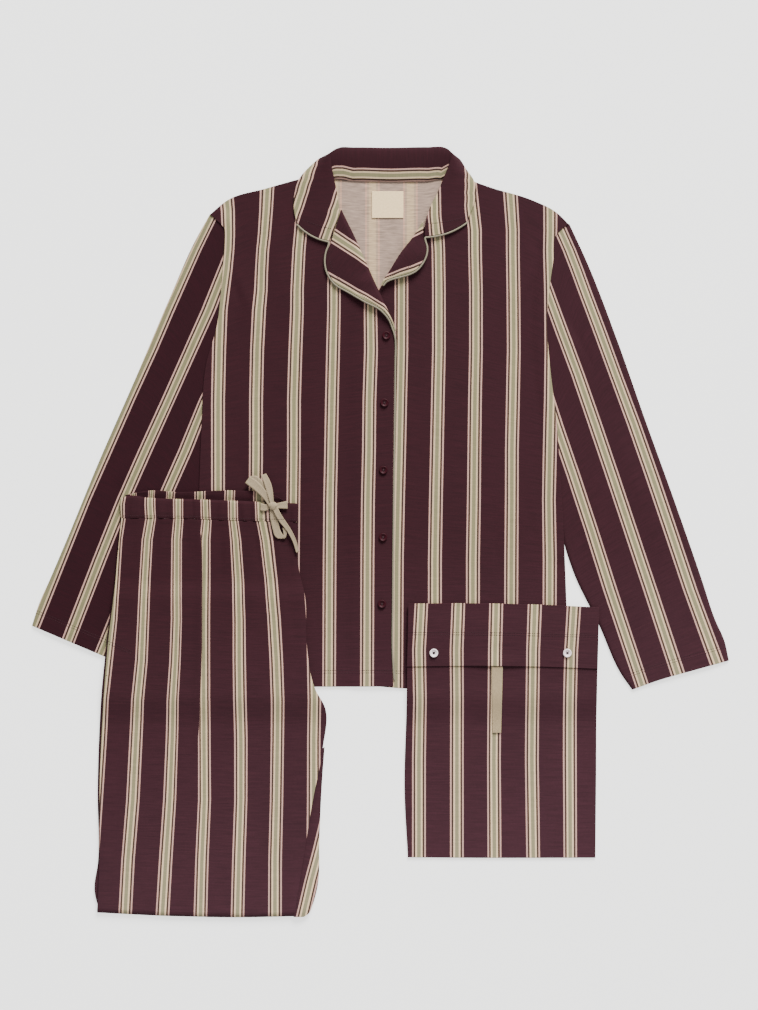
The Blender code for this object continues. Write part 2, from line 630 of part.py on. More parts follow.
def collar_centre():
    """Middle surface of the collar: a row for each section, from the fall to the seam."""
    grid = []
    for section in smooth_rows(COLLAR, shares(38)):
        row = Neck(*section)
        fall = np.array((row.fall_x, row.fall_y, row.fall_z))
        roll = np.array((row.roll_x, row.roll_y, row.roll_z))
        seam = np.array((row.seam_x, row.seam_y, row.seam_z))
        lean_fall = roll + (fall - roll) * row.spread
        lean_fall[2] = row.crest_fall
        lean_seam = roll + (seam - roll) * row.spread
        lean_seam[2] = row.crest_seam
        side = np.array((roll[1] - fall[1], fall[0] - roll[0], 0.0))
        side *= -row.bow / np.linalg.norm(side[:2])
        line = []
        for t in shares(FALL_STEPS):
            point = (1 - t)**2 * fall + 2 * t * (1 - t) * lean_fall + t * t * roll
            near = t * (2.0 - t)
            line.append(point + side * 4.0 * near * (1.0 - near))
        for t in shares(FALL_STEPS - 1)[1:]:
            line.append((1 - t)**2 * roll + 2 * t * (1 - t) * lean_seam + t * t * seam)
        grid.append(line)
    return np.array(grid)


def lapel_centre(patch, side, across, along):
    """Middle surface of a lapel: on its front, lifted towards the roll and turned down."""
    plan = patch_plan(patch, across, along)
    x = plan[..., 0]
    y = plan[..., 1]
    outer = patch.left if side == "over" else patch.right
    roll = patch.right if side == "over" else patch.left
    from_outer = distance_to(outer, x, y)
    from_roll = distance_to(roll, x, y)
    width = from_outer + from_roll
    share = from_outer / np.maximum(width, 0.1)
    lift = 2.2 * np.sin(math.pi * np.clip(share, 0.0, 1.0) * 0.62) * ramp(width, 4.0, 22.0)
    flat = front_rest(side, x, y) + WALL + GAP + WALL / 2.0 + PIPED_RISE
    turn = 1.0 - ramp(from_roll, 0.0, 3.2)
    lift = lift + 0.25
    edge = (1.0 - turn) * (flat + lift) + turn * (flat - 0.9)
    return np.dstack((plan, edge))


def collar_and_lapels():
    """The collar, rolled over at the neck, the facings' lapels, and the piping of each side."""
    neck = collar_centre()
    sheet_solid("collar", *thicken(neck, WALL), "burgundy")
    left = lapel_centre(LAPEL_LEFT, "over", 6, 14)
    sheet_solid("facing_left", *thicken(left, WALL), "burgundy")
    right = lapel_centre(LAPEL_RIGHT, "under", 6, 10)
    sheet_solid("facing_right", *thicken(right, WALL), "burgundy")
    leaf_left = beside(neck[0, :FALL_STEPS], neck[1, :FALL_STEPS])
    leaf_right = beside(neck[-1, :FALL_STEPS], neck[-2, :FALL_STEPS])
    lapel_left = beside(left[:, 0], left[:, 1])
    lapel_right = beside(right[:, -1], right[:, -2])
    piping("piping_left", np.concatenate((leaf_left, lapel_left[1:], placket_line())))
    piping("piping_right", np.concatenate((leaf_right, lapel_right[1:])))


def placket_line():
    """Middle of the piping from the lapel's tip, over the edge and down it to the hem."""
    edge = smooth_rows(PLACKET_EDGE, shares(44))
    edge = edge[(edge[:, 1] < 253.0) & (edge[:, 1] > -206.0)][::-1]
    x = edge[:, 0] + PIPING_WIDTH / 2.0 + PIPING_GAP
    y = edge[:, 1]
    z = front_rest("under", x, y) + WALL + GAP + PIPING_WIDTH / 2.0
    step = (PLACKET_TURN.x, PLACKET_TURN.y, z[0] + LAP_LIFT * 0.7)
    return np.concatenate(([step], np.column_stack((x, y, z))))


def piping(name, points):
    """Piped cord round the end of a collar leaf and on along the lapel."""
    curve = bpy.data.curves.new(name, "CURVE")
    curve.dimensions = "3D"
    curve.bevel_depth = PIPING_WIDTH / 2.0 * MM
    curve.bevel_resolution = 1
    curve.use_fill_caps = True
    line = curve.splines.new("POLY")
    line.points.add(len(points) - 1)
    for knot, point in zip(line.points, points):
        knot.co = (point[0] * MM, point[1] * MM, point[2] * MM, 1.0)
    curve.materials.append(material("piping_green", 0.8))
    item = bpy.data.objects.new(name, curve)
    bpy.context.collection.objects.link(item)


def beside(edge, inward):
    """Middle of the piping just outside an edge; inward holds the next points from it."""
    run = np.gradient(edge, axis=0)
    away = np.column_stack((run[:, 1], -run[:, 0], np.zeros(len(run))))
    away /= np.linalg.norm(away, axis=1, keepdims=True)
    outward = np.sign(np.sum(away * (edge - inward)))
    return edge + away * outward * (PIPING_WIDTH / 2.0 + PIPING_GAP)


def button(name, spot, width, base, look):
    """Dished button with a rim and four holes, lying at the given height."""
    radius = width / 2.0
    profile = (
        (0.0, 0.0), (radius * 0.86, 0.0), (radius, BUTTON_HEIGHT * 0.4),
        (radius * 0.96, BUTTON_HEIGHT * 0.85), (radius * 0.84, BUTTON_HEIGHT),
        (radius * 0.66, BUTTON_HEIGHT * 0.72), (0.0, BUTTON_HEIGHT * 0.62),
    )
    bm = bmesh.new()
    previous = None
    for r, z in profile:
        knot = bm.verts.new((r * MM, 0.0, z * MM))
        if previous:
            bm.edges.new((previous, knot))
        previous = knot
    bmesh.ops.spin(bm, geom=bm.verts[:] + bm.edges[:], axis=(0, 0, 1), cent=(0, 0, 0),
                   steps=12, angle=math.tau)
    bmesh.ops.remove_doubles(bm, verts=bm.verts, dist=0.00001)
    bmesh.ops.recalc_face_normals(bm, faces=bm.faces)
    for face in bm.faces:
        face.smooth = True
    mesh = bpy.data.meshes.new(name)
    bm.to_mesh(mesh)
    bm.free()
    mesh.materials.append(material(look, 0.25))
    item = bpy.data.objects.new(name, mesh)
    bpy.context.collection.objects.link(item)
    item.location = (spot.x * MM, spot.y * MM, base * MM)
    drill_holes(item, width)
    return item


def drill_holes(item, width):
    """Cut the four thread holes."""
    bm = bmesh.new()
    for quarter in range(4):
        angle = math.pi / 4.0 + quarter * math.pi / 2.0
        centre = (math.cos(angle) * width * 0.12 * MM, math.sin(angle) * width * 0.12 * MM, 0.0)
        made = bmesh.ops.create_cone(bm, cap_ends=True, segments=5, radius1=0.75 * MM,
                                     radius2=0.75 * MM, depth=12.0 * MM)
        bmesh.ops.translate(bm, verts=made["verts"], vec=centre)
    mesh = bpy.data.meshes.new(item.name + "_cutter")
    bm.to_mesh(mesh)
    bm.free()
    cutter = bpy.data.objects.new(item.name + "_cutter", mesh)
    bpy.context.collection.objects.link(cutter)
    cutter.location = item.location
    cutter.hide_render = True
    cutter.display_type = "WIRE"
    holes = item.modifiers.new("holes", "BOOLEAN")
    holes.object = cutter
    holes.operation = "DIFFERENCE"


def trousers():
    """Visible leg, the strip of its back at the inseam, and the layers hidden under them."""
    plan = patch_plan(LEG_UNDER, 10, 18, side_rim=(0.012, 0.035), end_rim=(0.012,))
    x = plan[..., 0]
    y = plan[..., 1]
    under, over = lay(plan, stack_rest(y), 0.0)
    over[..., 2] += leg_height(x, y) - LEG_ROUND * (1.0 - ramp(rim_distance(LEG_UNDER, x, y), 0.0, 9.0))
    sheet_solid("trousers_under", under, over, "burgundy_deep")

    plan = patch_plan(LEG_FRONT, 12, 18, side_rim=(0.008, 0.03), end_rim=(0.006, 0.016))
    sheet_solid("trousers_front", *thicken(leg_surface(plan), WALL), "burgundy")

    plan = patch_plan(LEG_BACK, 3, 12)
    off = distance_to(LEG_BACK.right, plan[..., 0], plan[..., 1])
    crown = leg_crown(plan) - 1.2 * (1.0 - ramp(off, 0.0, 6.0))
    sheet_solid("trousers_back", *thicken(np.dstack((plan, crown)), WALL), "burgundy")


def rim_distance(patch, x, y):
    """Plan distance to the nearest edge of a patch."""
    edges = (patch.left, patch.right, (patch.left[0], *patch.foot, patch.right[0]),
             (patch.left[-1], *patch.head, patch.right[-1]))
    return np.minimum.reduce([distance_to(edge, x, y) for edge in edges])


def leg_crown(plan):
    """Middle height of a cloth that lies on the hidden layers of the trousers."""
    x = plan[..., 0]
    y = plan[..., 1]
    return stack_rest(y) + leg_height(x, y) + LEG_GAP + WALL / 2.0


def leg_surface(plan):
    """Middle surface of the visible leg, rounded down at its folds."""
    x = plan[..., 0]
    y = plan[..., 1]
    left = distance_to(LEG_FRONT.left, x, y)
    right = distance_to(LEG_FRONT.right, x, y)
    waist = distance_to((LEG_FRONT.left[0], *LEG_FRONT.foot, LEG_FRONT.right[0]), x, y)
    knee = distance_to((LEG_FRONT.left[-1], *LEG_FRONT.head, LEG_FRONT.right[-1]), x, y)
    inside = ramp(left, 4.0, 30.0) * ramp(right, 4.0, 26.0) * ramp(knee, 10.0, 40.0)
    crown = leg_crown(plan) + swell(LEG_FOLDS, x, y) * inside * ramp(waist, 0.0, 8.0)
    crown -= 0.6 * (1.0 - ramp(left, 0.0, 5.0))
    crown -= 1.2 * (1.0 - ramp(right, 0.0, 5.0)) * ramp(y, -300.0, -270.0)
    crown -= 3.6 * (1.0 - ramp(knee, 0.0, 6.0)) ** 1.5
    return np.dstack((plan, crown))


def waistbands():
    """The gathered casing in front and the inside of its back behind it."""
    plan = patch_plan(BAND_FRONT, 60, 2)
    x = plan[..., 0]
    y = plan[..., 1]
    rest = stack_rest(y) + LEG_TOP + GAP + 0.05
    wave = BAND_WAVE / 2.0 * (1.0 + np.sin(x / 16.8 * math.tau + 0.9 * np.sin(x / 37.0)))
    under, over = lay(plan, rest, BAND_WALL)
    over[..., 2] += wave
    sheet_solid("waistband_front", under, over, "burgundy")

    plan = patch_plan(BAND_BACK, 44, 1)
    x = plan[..., 0]
    y = plan[..., 1]
    under, over = lay(plan, stack_rest(y), 1.7)
    over[..., 2] += 0.25 + 0.25 * np.sin(x / 18.4 * math.tau + 1.3)
    sheet_solid("waistband_back", under, over, "wrong_side")


def ribbon(name, table, base, count):
    """Flat ribbon through stations across it, at heights above the base."""
    rows = smooth_rows(table, shares(count))
    across = 3
    grid = []
    for ax, ay, bx, by, z in rows:
        line = []
        for step in range(across):
            share = step / (across - 1)
            line.append((ax + (bx - ax) * share, ay + (by - ay) * share, base + z))
        grid.append(line)
    under, over = thicken(np.array(grid), TAPE_WALL)
    item = sheet_solid(name, under, over, "tape_beige", 0.9)
    item.hide_render = True
    item.display_type = "WIRE"
    return item


def drawstring():
    """One tape tied in a bow at the front of the waist: its knot, ears and free ends."""
    base = STACK_REST + LEG_TOP + GAP + BAND_WALL + BAND_WAVE + GAP + TAPE_WALL / 2.0
    knot = bmesh.new()
    bmesh.ops.create_uvsphere(knot, u_segments=12, v_segments=8, radius=0.5)
    for vert in knot.verts:
        for axis in range(3):
            vert.co[axis] *= KNOT_SIZE[axis] * MM
    for face in knot.faces:
        face.smooth = True
    mesh = bpy.data.meshes.new("drawstring")
    knot.to_mesh(mesh)
    knot.free()
    mesh.materials.append(material("tape_beige", 0.9))
    item = bpy.data.objects.new("drawstring", mesh)
    bpy.context.collection.objects.link(item)
    item.location = (KNOT_CENTRE.x * MM, KNOT_CENTRE.y * MM, (base + 2.4) * MM)
    for name, table, steps in (
        ("ear_left", BOW_EAR_LEFT, 9),
        ("ear_under", BOW_EAR_UNDER, 7),
        ("ear_up", BOW_EAR_UP, 9),
        ("ear_right", BOW_EAR_RIGHT, 4),
        ("ear_low", BOW_EAR_LOW, 4),
        ("tail_wide", BOW_TAIL_WIDE, 10),
        ("tail_turn", BOW_TAIL_TURN, 3),
        ("tail_narrow", BOW_TAIL_NARROW, 12),
    ):
        join = item.modifiers.new(name, "BOOLEAN")
        join.object = ribbon(name, table, base, steps)
        join.operation = "UNION"


def pouch():
    """Envelope pouch: back, front, flap with two buttons, and the hanging tab."""
    plan = patch_plan(POUCH_BACK, 6, 14)
    back_rest = stack_rest(plan[..., 1])
    sheet_solid("pouch_back", *lay(plan, back_rest, WALL), "burgundy")
    plan = patch_plan(POUCH_FRONT, 8, 13)
    sheet_solid("pouch_front", *lay(plan, pouch_rest(plan), WALL), "burgundy")
    plan = patch_plan(POUCH_FLAP, 8, 6)
    flap_rest = flap_height(plan[..., 0], plan[..., 1])
    sheet_solid("pouch_flap", *lay(plan, flap_rest, WALL), "burgundy")
    plan = patch_plan(TAB_EDGES, 2, 8)
    tab_rest = pouch_rest(plan) + WALL + TAB_GAP
    sheet_solid("pouch_tab", *lay(plan, tab_rest, TAPE_WALL), "tape_beige", 0.9)


def pouch_rest(plan):
    """Underside of the pouch's front, on its back."""
    x = plan[..., 0]
    y = plan[..., 1]
    return stack_rest(y) + WALL + GAP + swell(POUCH_FOLDS, x, y)


def flap_height(x, y):
    """Underside of the flap, over the front's top edge and down to the back's."""
    over_front = stack_rest(y) + 2.0 * (WALL + GAP)
    return over_front - (WALL + GAP) * 0.9 * ramp(y, -122.0, -99.0)


def on_front(spot):
    """Height just above the upper front at a spot."""
    rest = front_rest("over", np.array([spot.x]), np.array([spot.y]))[0]
    return float(rest) + WALL + GAP


def fastenings():
    """Five buttons on the placket and two on the pouch's flap."""
    for number, spot in enumerate(SHIRT_BUTTONS, start=1):
        button(f"shirt_button_{number}", spot, BUTTON_WIDTH, on_front(spot), "button_burgundy")
    for number, spot in enumerate(POUCH_BUTTONS, start=1):
        base = float(flap_height(spot.x, spot.y)) + WALL + GAP
        button(f"pouch_button_{number}", spot, POUCH_BUTTON_WIDTH, base, "button_white")


def neck_label():
    """Bare label sewn inside the back of the neck."""
    plan = patch_plan(LABEL_EDGES, 3, 3)
    sheet_solid("neck_label", *lay(plan, WALL + GAP, TAPE_WALL), "label_cream", 0.9)


def main():
    clear_scene()
    shirt_back()
    shirt_fronts()
    sleeve("sleeve_left", SLEEVE_LEFT, True)
    sleeve("sleeve_right", SLEEVE_RIGHT, False)
    collar_and_lapels()
    trousers()
    waistbands()
    drawstring()
    pouch()
    fastenings()
    neck_label()


main()
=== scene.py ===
# %% [markdown]
# # A striped pyjama set, laid flat
# The set is a long-sleeved shirt with a notched, piped collar, trousers with a drawstring,
# and the buttoned pouch that they are sold in. All of it is one weight of cotton jersey,
# printed with one stripe. It lies on a floor, so every piece is a thin sheet that rests on
# the sheet below it. The solids already say where each piece lies. This lesson makes the
# cloth, the stitches and the finishes that people see.

# %% Load the solids
import math
from collections import namedtuple

import bmesh
import bpy
import numpy as np
from mathutils import Matrix, Vector


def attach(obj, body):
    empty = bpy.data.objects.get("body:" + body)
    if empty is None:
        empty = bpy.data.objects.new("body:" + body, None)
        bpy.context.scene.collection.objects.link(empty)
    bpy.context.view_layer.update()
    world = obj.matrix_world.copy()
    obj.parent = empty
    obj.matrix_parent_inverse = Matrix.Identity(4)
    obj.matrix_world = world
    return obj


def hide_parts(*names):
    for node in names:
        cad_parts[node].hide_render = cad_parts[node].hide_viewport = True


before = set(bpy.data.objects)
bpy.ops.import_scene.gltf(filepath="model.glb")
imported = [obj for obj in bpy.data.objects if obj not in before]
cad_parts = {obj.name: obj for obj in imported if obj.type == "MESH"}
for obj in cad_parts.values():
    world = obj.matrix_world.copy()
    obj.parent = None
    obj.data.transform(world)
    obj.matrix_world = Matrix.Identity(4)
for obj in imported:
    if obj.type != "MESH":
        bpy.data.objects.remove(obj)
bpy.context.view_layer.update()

# %% [markdown]
# ## Camera, floor and light
# The set is looked at from straight above, from far enough away that nothing leans. A long
# lens does that. The floor is plain and pale. A very large soft lamp beyond the collar
# leaves a short soft shadow below each raised edge, and a pale sky fills the shadows, as in
# a studio with a light tent.

# %% Camera
CAMERA_HEIGHT = 3.5
CAMERA_X = -0.00195
CAMERA_Y = 0.0371
CLOTH_LEVEL = 0.005
FARTHEST = 50.0
VIEW_LENGTH = 1.3635
SENSOR = 36.0

camera_data = bpy.data.cameras.new("camera")
camera_data.sensor_width = SENSOR
camera_data.lens = SENSOR * CAMERA_HEIGHT / VIEW_LENGTH
camera_data.clip_end = FARTHEST
camera = bpy.data.objects.new("camera", camera_data)
camera.location = (CAMERA_X, CAMERA_Y, CAMERA_HEIGHT + CLOTH_LEVEL)
bpy.context.collection.objects.link(camera)
bpy.context.scene.camera = camera
print("lens:", round(camera_data.lens, 1), "mm")

# %% Light
Lamp = namedtuple("Lamp", "name place size power")
LAMPS = (
    Lamp("lamp_over", (3.5, 13.0, 7.8), 6.5, 10100.0),
    Lamp("lamp_low", (2.5, -4.0, 5.0), 3.0, 110.0),
)
SKY_COLOUR = (0.96, 0.97, 1.0, 1.0)
SKY_STRENGTH = 0.95

for lamp in LAMPS:
    lamp_data = bpy.data.lights.new(lamp.name, "AREA")
    lamp_data.size = lamp.size
    lamp_data.energy = lamp.power
    lamp_object = bpy.data.objects.new(lamp.name, lamp_data)
    lamp_object.location = lamp.place
    lamp_object.rotation_euler = (-Vector(lamp.place)).to_track_quat("-Z", "Y").to_euler()
    bpy.context.collection.objects.link(lamp_object)

sky = bpy.data.worlds.new("sky")
sky.use_nodes = True
background = sky.node_tree.nodes["Background"]
background.inputs["Color"].default_value = SKY_COLOUR
background.inputs["Strength"].default_value = SKY_STRENGTH
bpy.context.scene.world = sky
print("lamps:", [lamp.name for lamp in LAMPS])

# %% [markdown]
# ## Writing a finish as sums
# A finish is a small graph of nodes. Drawn by hand it is easy to read, but in a script each
# sum takes several lines. One class wraps an output, so that Python's own signs add the Math
# nodes, and one method adds every other kind of node. The rest of the lesson can then say
# what a finish is in a line or two.

# %% The class for finishes
MM = 0.001


class Wire:
    """One output of a node; arithmetic on it adds Math nodes to the same finish."""

    def __init__(self, finish, socket):
        self.finish = finish
        self.socket = socket

    def sum(self, operation, *values):
        settings = {"operation": operation}
        return self.finish.node("ShaderNodeMath", settings, dict(enumerate(values)))

    def __add__(self, other):
        return self.sum("ADD", self, other)

    def __radd__(self, other):
        return self.sum("ADD", other, self)

    def __sub__(self, other):
        return self.sum("SUBTRACT", self, other)

    def __rsub__(self, other):
        return self.sum("SUBTRACT", other, self)

    def __mul__(self, other):
        return self.sum("MULTIPLY", self, other)

    def __rmul__(self, other):
        return self.sum("MULTIPLY", other, self)

    def __truediv__(self, other):
        return self.sum("DIVIDE", self, other)

    def __abs__(self):
        return self.sum("ABSOLUTE", self)

    def fract(self):
        return self.sum("FRACT", self)

    def sine(self):
        return self.sum("SINE", self)

    def over(self, limit):
        return self.sum("GREATER_THAN", self, limit)

    def at_least(self, limit):
        return self.sum("MAXIMUM", self, limit)


class Finish:
    """A material whose nodes are added in Python."""

    def __init__(self, name, roughness=0.85, **constants):
        self.material = bpy.data.materials.new(name)
        self.material.use_nodes = True
        self.tree = self.material.node_tree
        self.shader = self.tree.nodes["Principled BSDF"]
        self.shader.inputs["Roughness"].default_value = roughness
        for socket, value in constants.items():
            self.shader.inputs[socket.replace("_", " ")].default_value = value

    def node(self, kind, settings=None, values=None, out=0):
        made = self.tree.nodes.new(kind)
        for setting, value in (settings or {}).items():
            if setting == "stops":
                self.set_stops(made.color_ramp, value)
            else:
                setattr(made, setting, value)
        for key, value in (values or {}).items():
            self.connect(value, made.inputs[key])
        return Wire(self, made.outputs[out])

    def set_stops(self, ramp, stops):
        while len(ramp.elements) > 1:
            ramp.elements.remove(ramp.elements[-1])
        for place, (position, colour) in enumerate(stops):
            stop = ramp.elements[0] if place == 0 else ramp.elements.new(position)
            stop.position = position
            stop.color = (*colour, 1.0)

    def connect(self, value, socket):
        if isinstance(value, Wire):
            self.tree.links.new(value.socket, socket)
        else:
            socket.default_value = value

    def shade(self, **values):
        for socket, value in values.items():
            self.connect(value, self.shader.inputs[socket.replace("_", " ")])
        return self.material

    def object_place(self):
        """Coordinates of the piece's own space, in metres."""
        return self.node("ShaderNodeTexCoord", {}, out="Object")

    def parts(self, place):
        """The first two numbers of a place, each as a wire."""
        outputs = self.node("ShaderNodeSeparateXYZ", {}, {0: place}).socket.node.outputs
        return Wire(self, outputs[0]), Wire(self, outputs[1])

    def graded(self, stops, factor):
        return self.node("ShaderNodeValToRGB", {"stops": stops}, {0: factor})

    def shaded(self, colour, shade):
        """A colour times a grey."""
        grey = self.node("ShaderNodeCombineColor", {}, {0: shade, 1: shade, 2: shade})
        return self.mix(1.0, colour, grey, "MULTIPLY")

    def noise(self, place, scale, detail=2.0, roughness=0.5):
        return self.node("ShaderNodeTexNoise", {}, {
            "Vector": place, "Scale": scale, "Detail": detail, "Roughness": roughness})

    def stretch(self, place, x, y, z=1.0):
        return self.node("ShaderNodeMapping", {}, {"Vector": place, "Scale": (x, y, z)})

    def mix(self, factor, first, second, blend="MIX"):
        return self.node("ShaderNodeMix", {"data_type": "RGBA", "blend_type": blend}, {
            0: factor, 6: first, 7: second}, out=2)

    def bump(self, height, strength, distance, under=None):
        values = {"Height": height, "Strength": strength, "Distance": distance}
        if under is not None:
            values["Normal"] = under
        return self.node("ShaderNodeBump", {}, values)


print("finish helpers ready")

# %% [markdown]
# ## The printed jersey
# The stripe is a group of seven lines on a dark burgundy ground: a broad sage line between
# two cream ones, then a thin dark line and a dusty pink one on each side. The group comes
# again every 50.6 mm. It is the same on both sides of its middle, so one colour ramp over
# the distance from the middle gives all seven lines. The distance comes from the piece's
# own cloth coordinates, in metres across and along the grain, so the lines bend where the
# cloth bends. Towards the foot and the right of the set the colours are mixed with a lighter
# copy of the shades: painted light, as if a lamp lit that side more. Two noises drawn out
# across the grain give the faint slubs of a cotton jersey, and fine ribs along and across the
# grain are its knit. The first sleeve has a darker copy of the shades: painted shade.

# %% Stripe colours
REPEAT = 50.6
STRIPE = (
    ("sage", 2.5), ("cream", 4.75), ("dark", 7.15), ("pink", 9.12), ("ground", 25.3),
)
SHADES = {
    "ground": (0.0156, 0.0022, 0.0042),
    "dark": (0.0270, 0.0135, 0.0100),
    "pink": (0.320, 0.190, 0.152),
    "cream": (0.352, 0.258, 0.158),
    "sage": (0.134, 0.121, 0.064),
}
# Painted shade: a darker copy of the shades, for the first sleeve.
SLEEVE_PAINTED_SHADE = {
    "ground": (0.0112, 0.0004, 0.0022),
    "dark": (0.0190, 0.0085, 0.0062),
    "pink": (0.290, 0.170, 0.140),
    "cream": (0.315, 0.232, 0.140),
    "sage": (0.118, 0.106, 0.055),
}
# Painted light: a lighter copy of the shades, mixed in towards the foot and the right of the set.
LIT_SHADES = {
    "ground": (0.0280, 0.0084, 0.0124),
    "dark": (0.0360, 0.0200, 0.0150),
    "pink": (0.350, 0.207, 0.170),
    "cream": (0.490, 0.355, 0.220),
    "sage": (0.170, 0.150, 0.088),
}
print("stripe repeat:", REPEAT, "mm in", len(STRIPE) * 2 - 1, "lines")


# %% The jersey finish
RAMP_REACH = 12.0
SOFT_EDGE = 0.16
EDGE_WOBBLE = 0.3
# Painted light: how strongly the lighter copy is mixed in, at the middle, across the set and down
# it.
PAINTED_LIGHT_START = 0.06
PAINTED_LIGHT_ACROSS = 0.60
PAINTED_LIGHT_DOWN = 1.90
GROUND_EXTRA = 1.4
WALE = 0.00115
COURSE = 0.0009
CREASE_DEPTH = 0.0016
KNIT_DEPTH = 0.00012
KNIT_BUMP = 0.35
Speckle = namedtuple("Speckle", "across along detail roughness")
SLUBS = Speckle(30.0, 520.0, 3.0, 0.6)
FLECKS = Speckle(300.0, 900.0, 2.0, 0.5)
SOFT_CREASES = Speckle(34.0, 22.0, 3.0, 0.55)
SLUB_SHARE = 0.40
FLECK_SHARE = 0.16
CLOUD_SHARE = 0.10
WALE_SHARE = 0.6
COURSE_SHARE = 0.4
FLECK_RELIEF = 1.2


def stripe_stops(shades):
    """Ramp stops over the distance from the group's middle, with softly printed edges."""
    stops = []
    start = 0.0
    for name, end in STRIPE:
        stops.append(((start + SOFT_EDGE) / RAMP_REACH if start else 0.0, shades[name]))
        if name != "ground":
            stops.append(((end - SOFT_EDGE) / RAMP_REACH, shades[name]))
        start = end
    return stops


def from_middle(groups):
    """Millimetres from the nearest group's middle, for a place counted in repeats."""
    return abs((groups + 0.5).fract() - 0.5) * REPEAT


def speckled(finish, place, kind):
    """Noise drawn out along or across the grain."""
    drawn_out = finish.stretch(place, kind.across, kind.along)
    return finish.noise(drawn_out, 1.0, kind.detail, kind.roughness)


def jersey(name, shades, painted_light_shades):
    """Printed cotton jersey on the cloth coordinates, with painted light towards the foot and the
    right.
    """
    finish = Finish(name, roughness=0.9, Specular_IOR_Level=0.14)
    place = finish.node("ShaderNodeUVMap", {"uv_map": "cloth"})
    across, along = finish.parts(place)
    wobble = finish.noise(place, scale=160.0, detail=1.0)
    away = from_middle((across / MM + (wobble - 0.5) * EDGE_WOBBLE) / REPEAT)
    base_print = finish.graded(stripe_stops(shades), away / RAMP_REACH)
    painted_lit_print = finish.graded(stripe_stops(painted_light_shades), away / RAMP_REACH)
    x, y = finish.parts(finish.object_place())
    # Painted light: the lighter copy is mixed in towards the right and the foot of the set.
    painted_light = x * PAINTED_LIGHT_ACROSS + (y * -1.0).at_least(0.0) * PAINTED_LIGHT_DOWN + PAINTED_LIGHT_START
    slubs = speckled(finish, place, SLUBS)
    flecks = speckled(finish, place, FLECKS)
    clouds = finish.noise(place, scale=9.0)
    uneven = (slubs - 0.5) * SLUB_SHARE + (flecks - 0.5) * FLECK_SHARE
    uneven = uneven + (clouds - 0.5) * CLOUD_SHARE
    on_ground = away.over(dict(STRIPE)["pink"])
    shade = uneven * (1.0 + GROUND_EXTRA * on_ground) + 1.0
    colour = finish.shaded(finish.mix(painted_light, base_print, painted_lit_print), shade)
    wales = (across * (math.tau / WALE)).sine()
    courses = (along * (math.tau / COURSE)).sine()
    knit = wales * WALE_SHARE + courses * COURSE_SHARE + flecks * FLECK_RELIEF
    soft = finish.bump(speckled(finish, place, SOFT_CREASES), KNIT_BUMP, CREASE_DEPTH)
    relief = finish.bump(knit, KNIT_BUMP, KNIT_DEPTH, soft)
    return finish.shade(Base_Color=colour, Normal=relief)


JERSEY = jersey("printed jersey", SHADES, LIT_SHADES)
# The first sleeve's jersey is painted shade: a darker copy of the shades.
SLEEVE_JERSEY_PAINTED_SHADE = jersey("printed jersey with painted shade, first sleeve", SLEEVE_PAINTED_SHADE, SHADES)
print("jersey finishes:", JERSEY.name, "and", SLEEVE_JERSEY_PAINTED_SHADE.name)

# %% [markdown]
# ## The other finishes
# The wrong side of the jersey is heather grey where the print shows through a little. The
# piping is a plain sage jersey folded round a cord, the tapes are cotton twill, the neck
# label is a woven cotton, and the buttons are cast resin: a dull burgundy on the shirt, a
# glossy white on the pouch. The stitches are a burgundy thread, hardly lighter than the
# ground, so that only their relief shows them. The thread in the pouch's buttons is darker.

# %% Wrong side, piping, tape and label
HEATHER_STOPS = (
    (0.0, (0.325, 0.230, 0.138)),
    (0.34, (0.320, 0.225, 0.136)),
    (0.44, (0.244, 0.171, 0.117)),
    (0.60, (0.244, 0.171, 0.117)),
    (0.66, (0.308, 0.184, 0.130)),
    (0.76, (0.308, 0.184, 0.130)),
    (0.84, (0.206, 0.145, 0.112)),
)
HEATHER_DEPTH = 0.0002
HEATHER_BUMP = 0.4
HEATHER_STREAKS = Speckle(60.0, 520.0, 3.0, 0.6)
HEATHER_BASE = 0.25
HEATHER_GAIN = 1.5
WEAVE_BUMP = 0.5
YARN_SHARE = 0.6
MOTTLE = (0.8, 1.12)


def wrong_side():
    """Heather back of the jersey, with the cream and pink lines showing through."""
    finish = Finish("wrong side of the jersey", roughness=0.92, Specular_IOR_Level=0.2)
    place = finish.node("ShaderNodeUVMap", {"uv_map": "cloth"})
    away = from_middle(finish.parts(place)[0] * (1.0 / MM / REPEAT))
    stripes = finish.graded(HEATHER_STOPS, away / RAMP_REACH)
    streaks = speckled(finish, place, HEATHER_STREAKS)
    colour = finish.shaded(stripes, HEATHER_BASE + streaks * HEATHER_GAIN)
    relief = finish.bump(streaks, HEATHER_BUMP, HEATHER_DEPTH)
    return finish.shade(Base_Color=colour, Normal=relief)


def two_shades(shade, darker, lighter):
    """A darker and a lighter colour round a shade."""
    return [(*(min(1.0, value * factor) for value in shade), 1.0) for factor in (darker, lighter)]


def woven(name, shade, warp, weft, depth, roughness=0.85):
    """Plain weave or twill on object coordinates; warp and weft are the yarns' spacing."""
    finish = Finish(name, roughness, Specular_IOR_Level=0.25)
    place = finish.object_place()
    x, y = finish.parts(place)
    yarns = (x * (math.tau / warp)).sine() * (y * (math.tau / weft)).sine()
    mottle = finish.noise(place, scale=420.0, detail=3.0, roughness=0.6)
    colour = finish.mix(mottle, *two_shades(shade, *MOTTLE))
    relief = finish.bump(yarns * YARN_SHARE + mottle, WEAVE_BUMP, depth)
    return finish.shade(Base_Color=colour, Normal=relief)


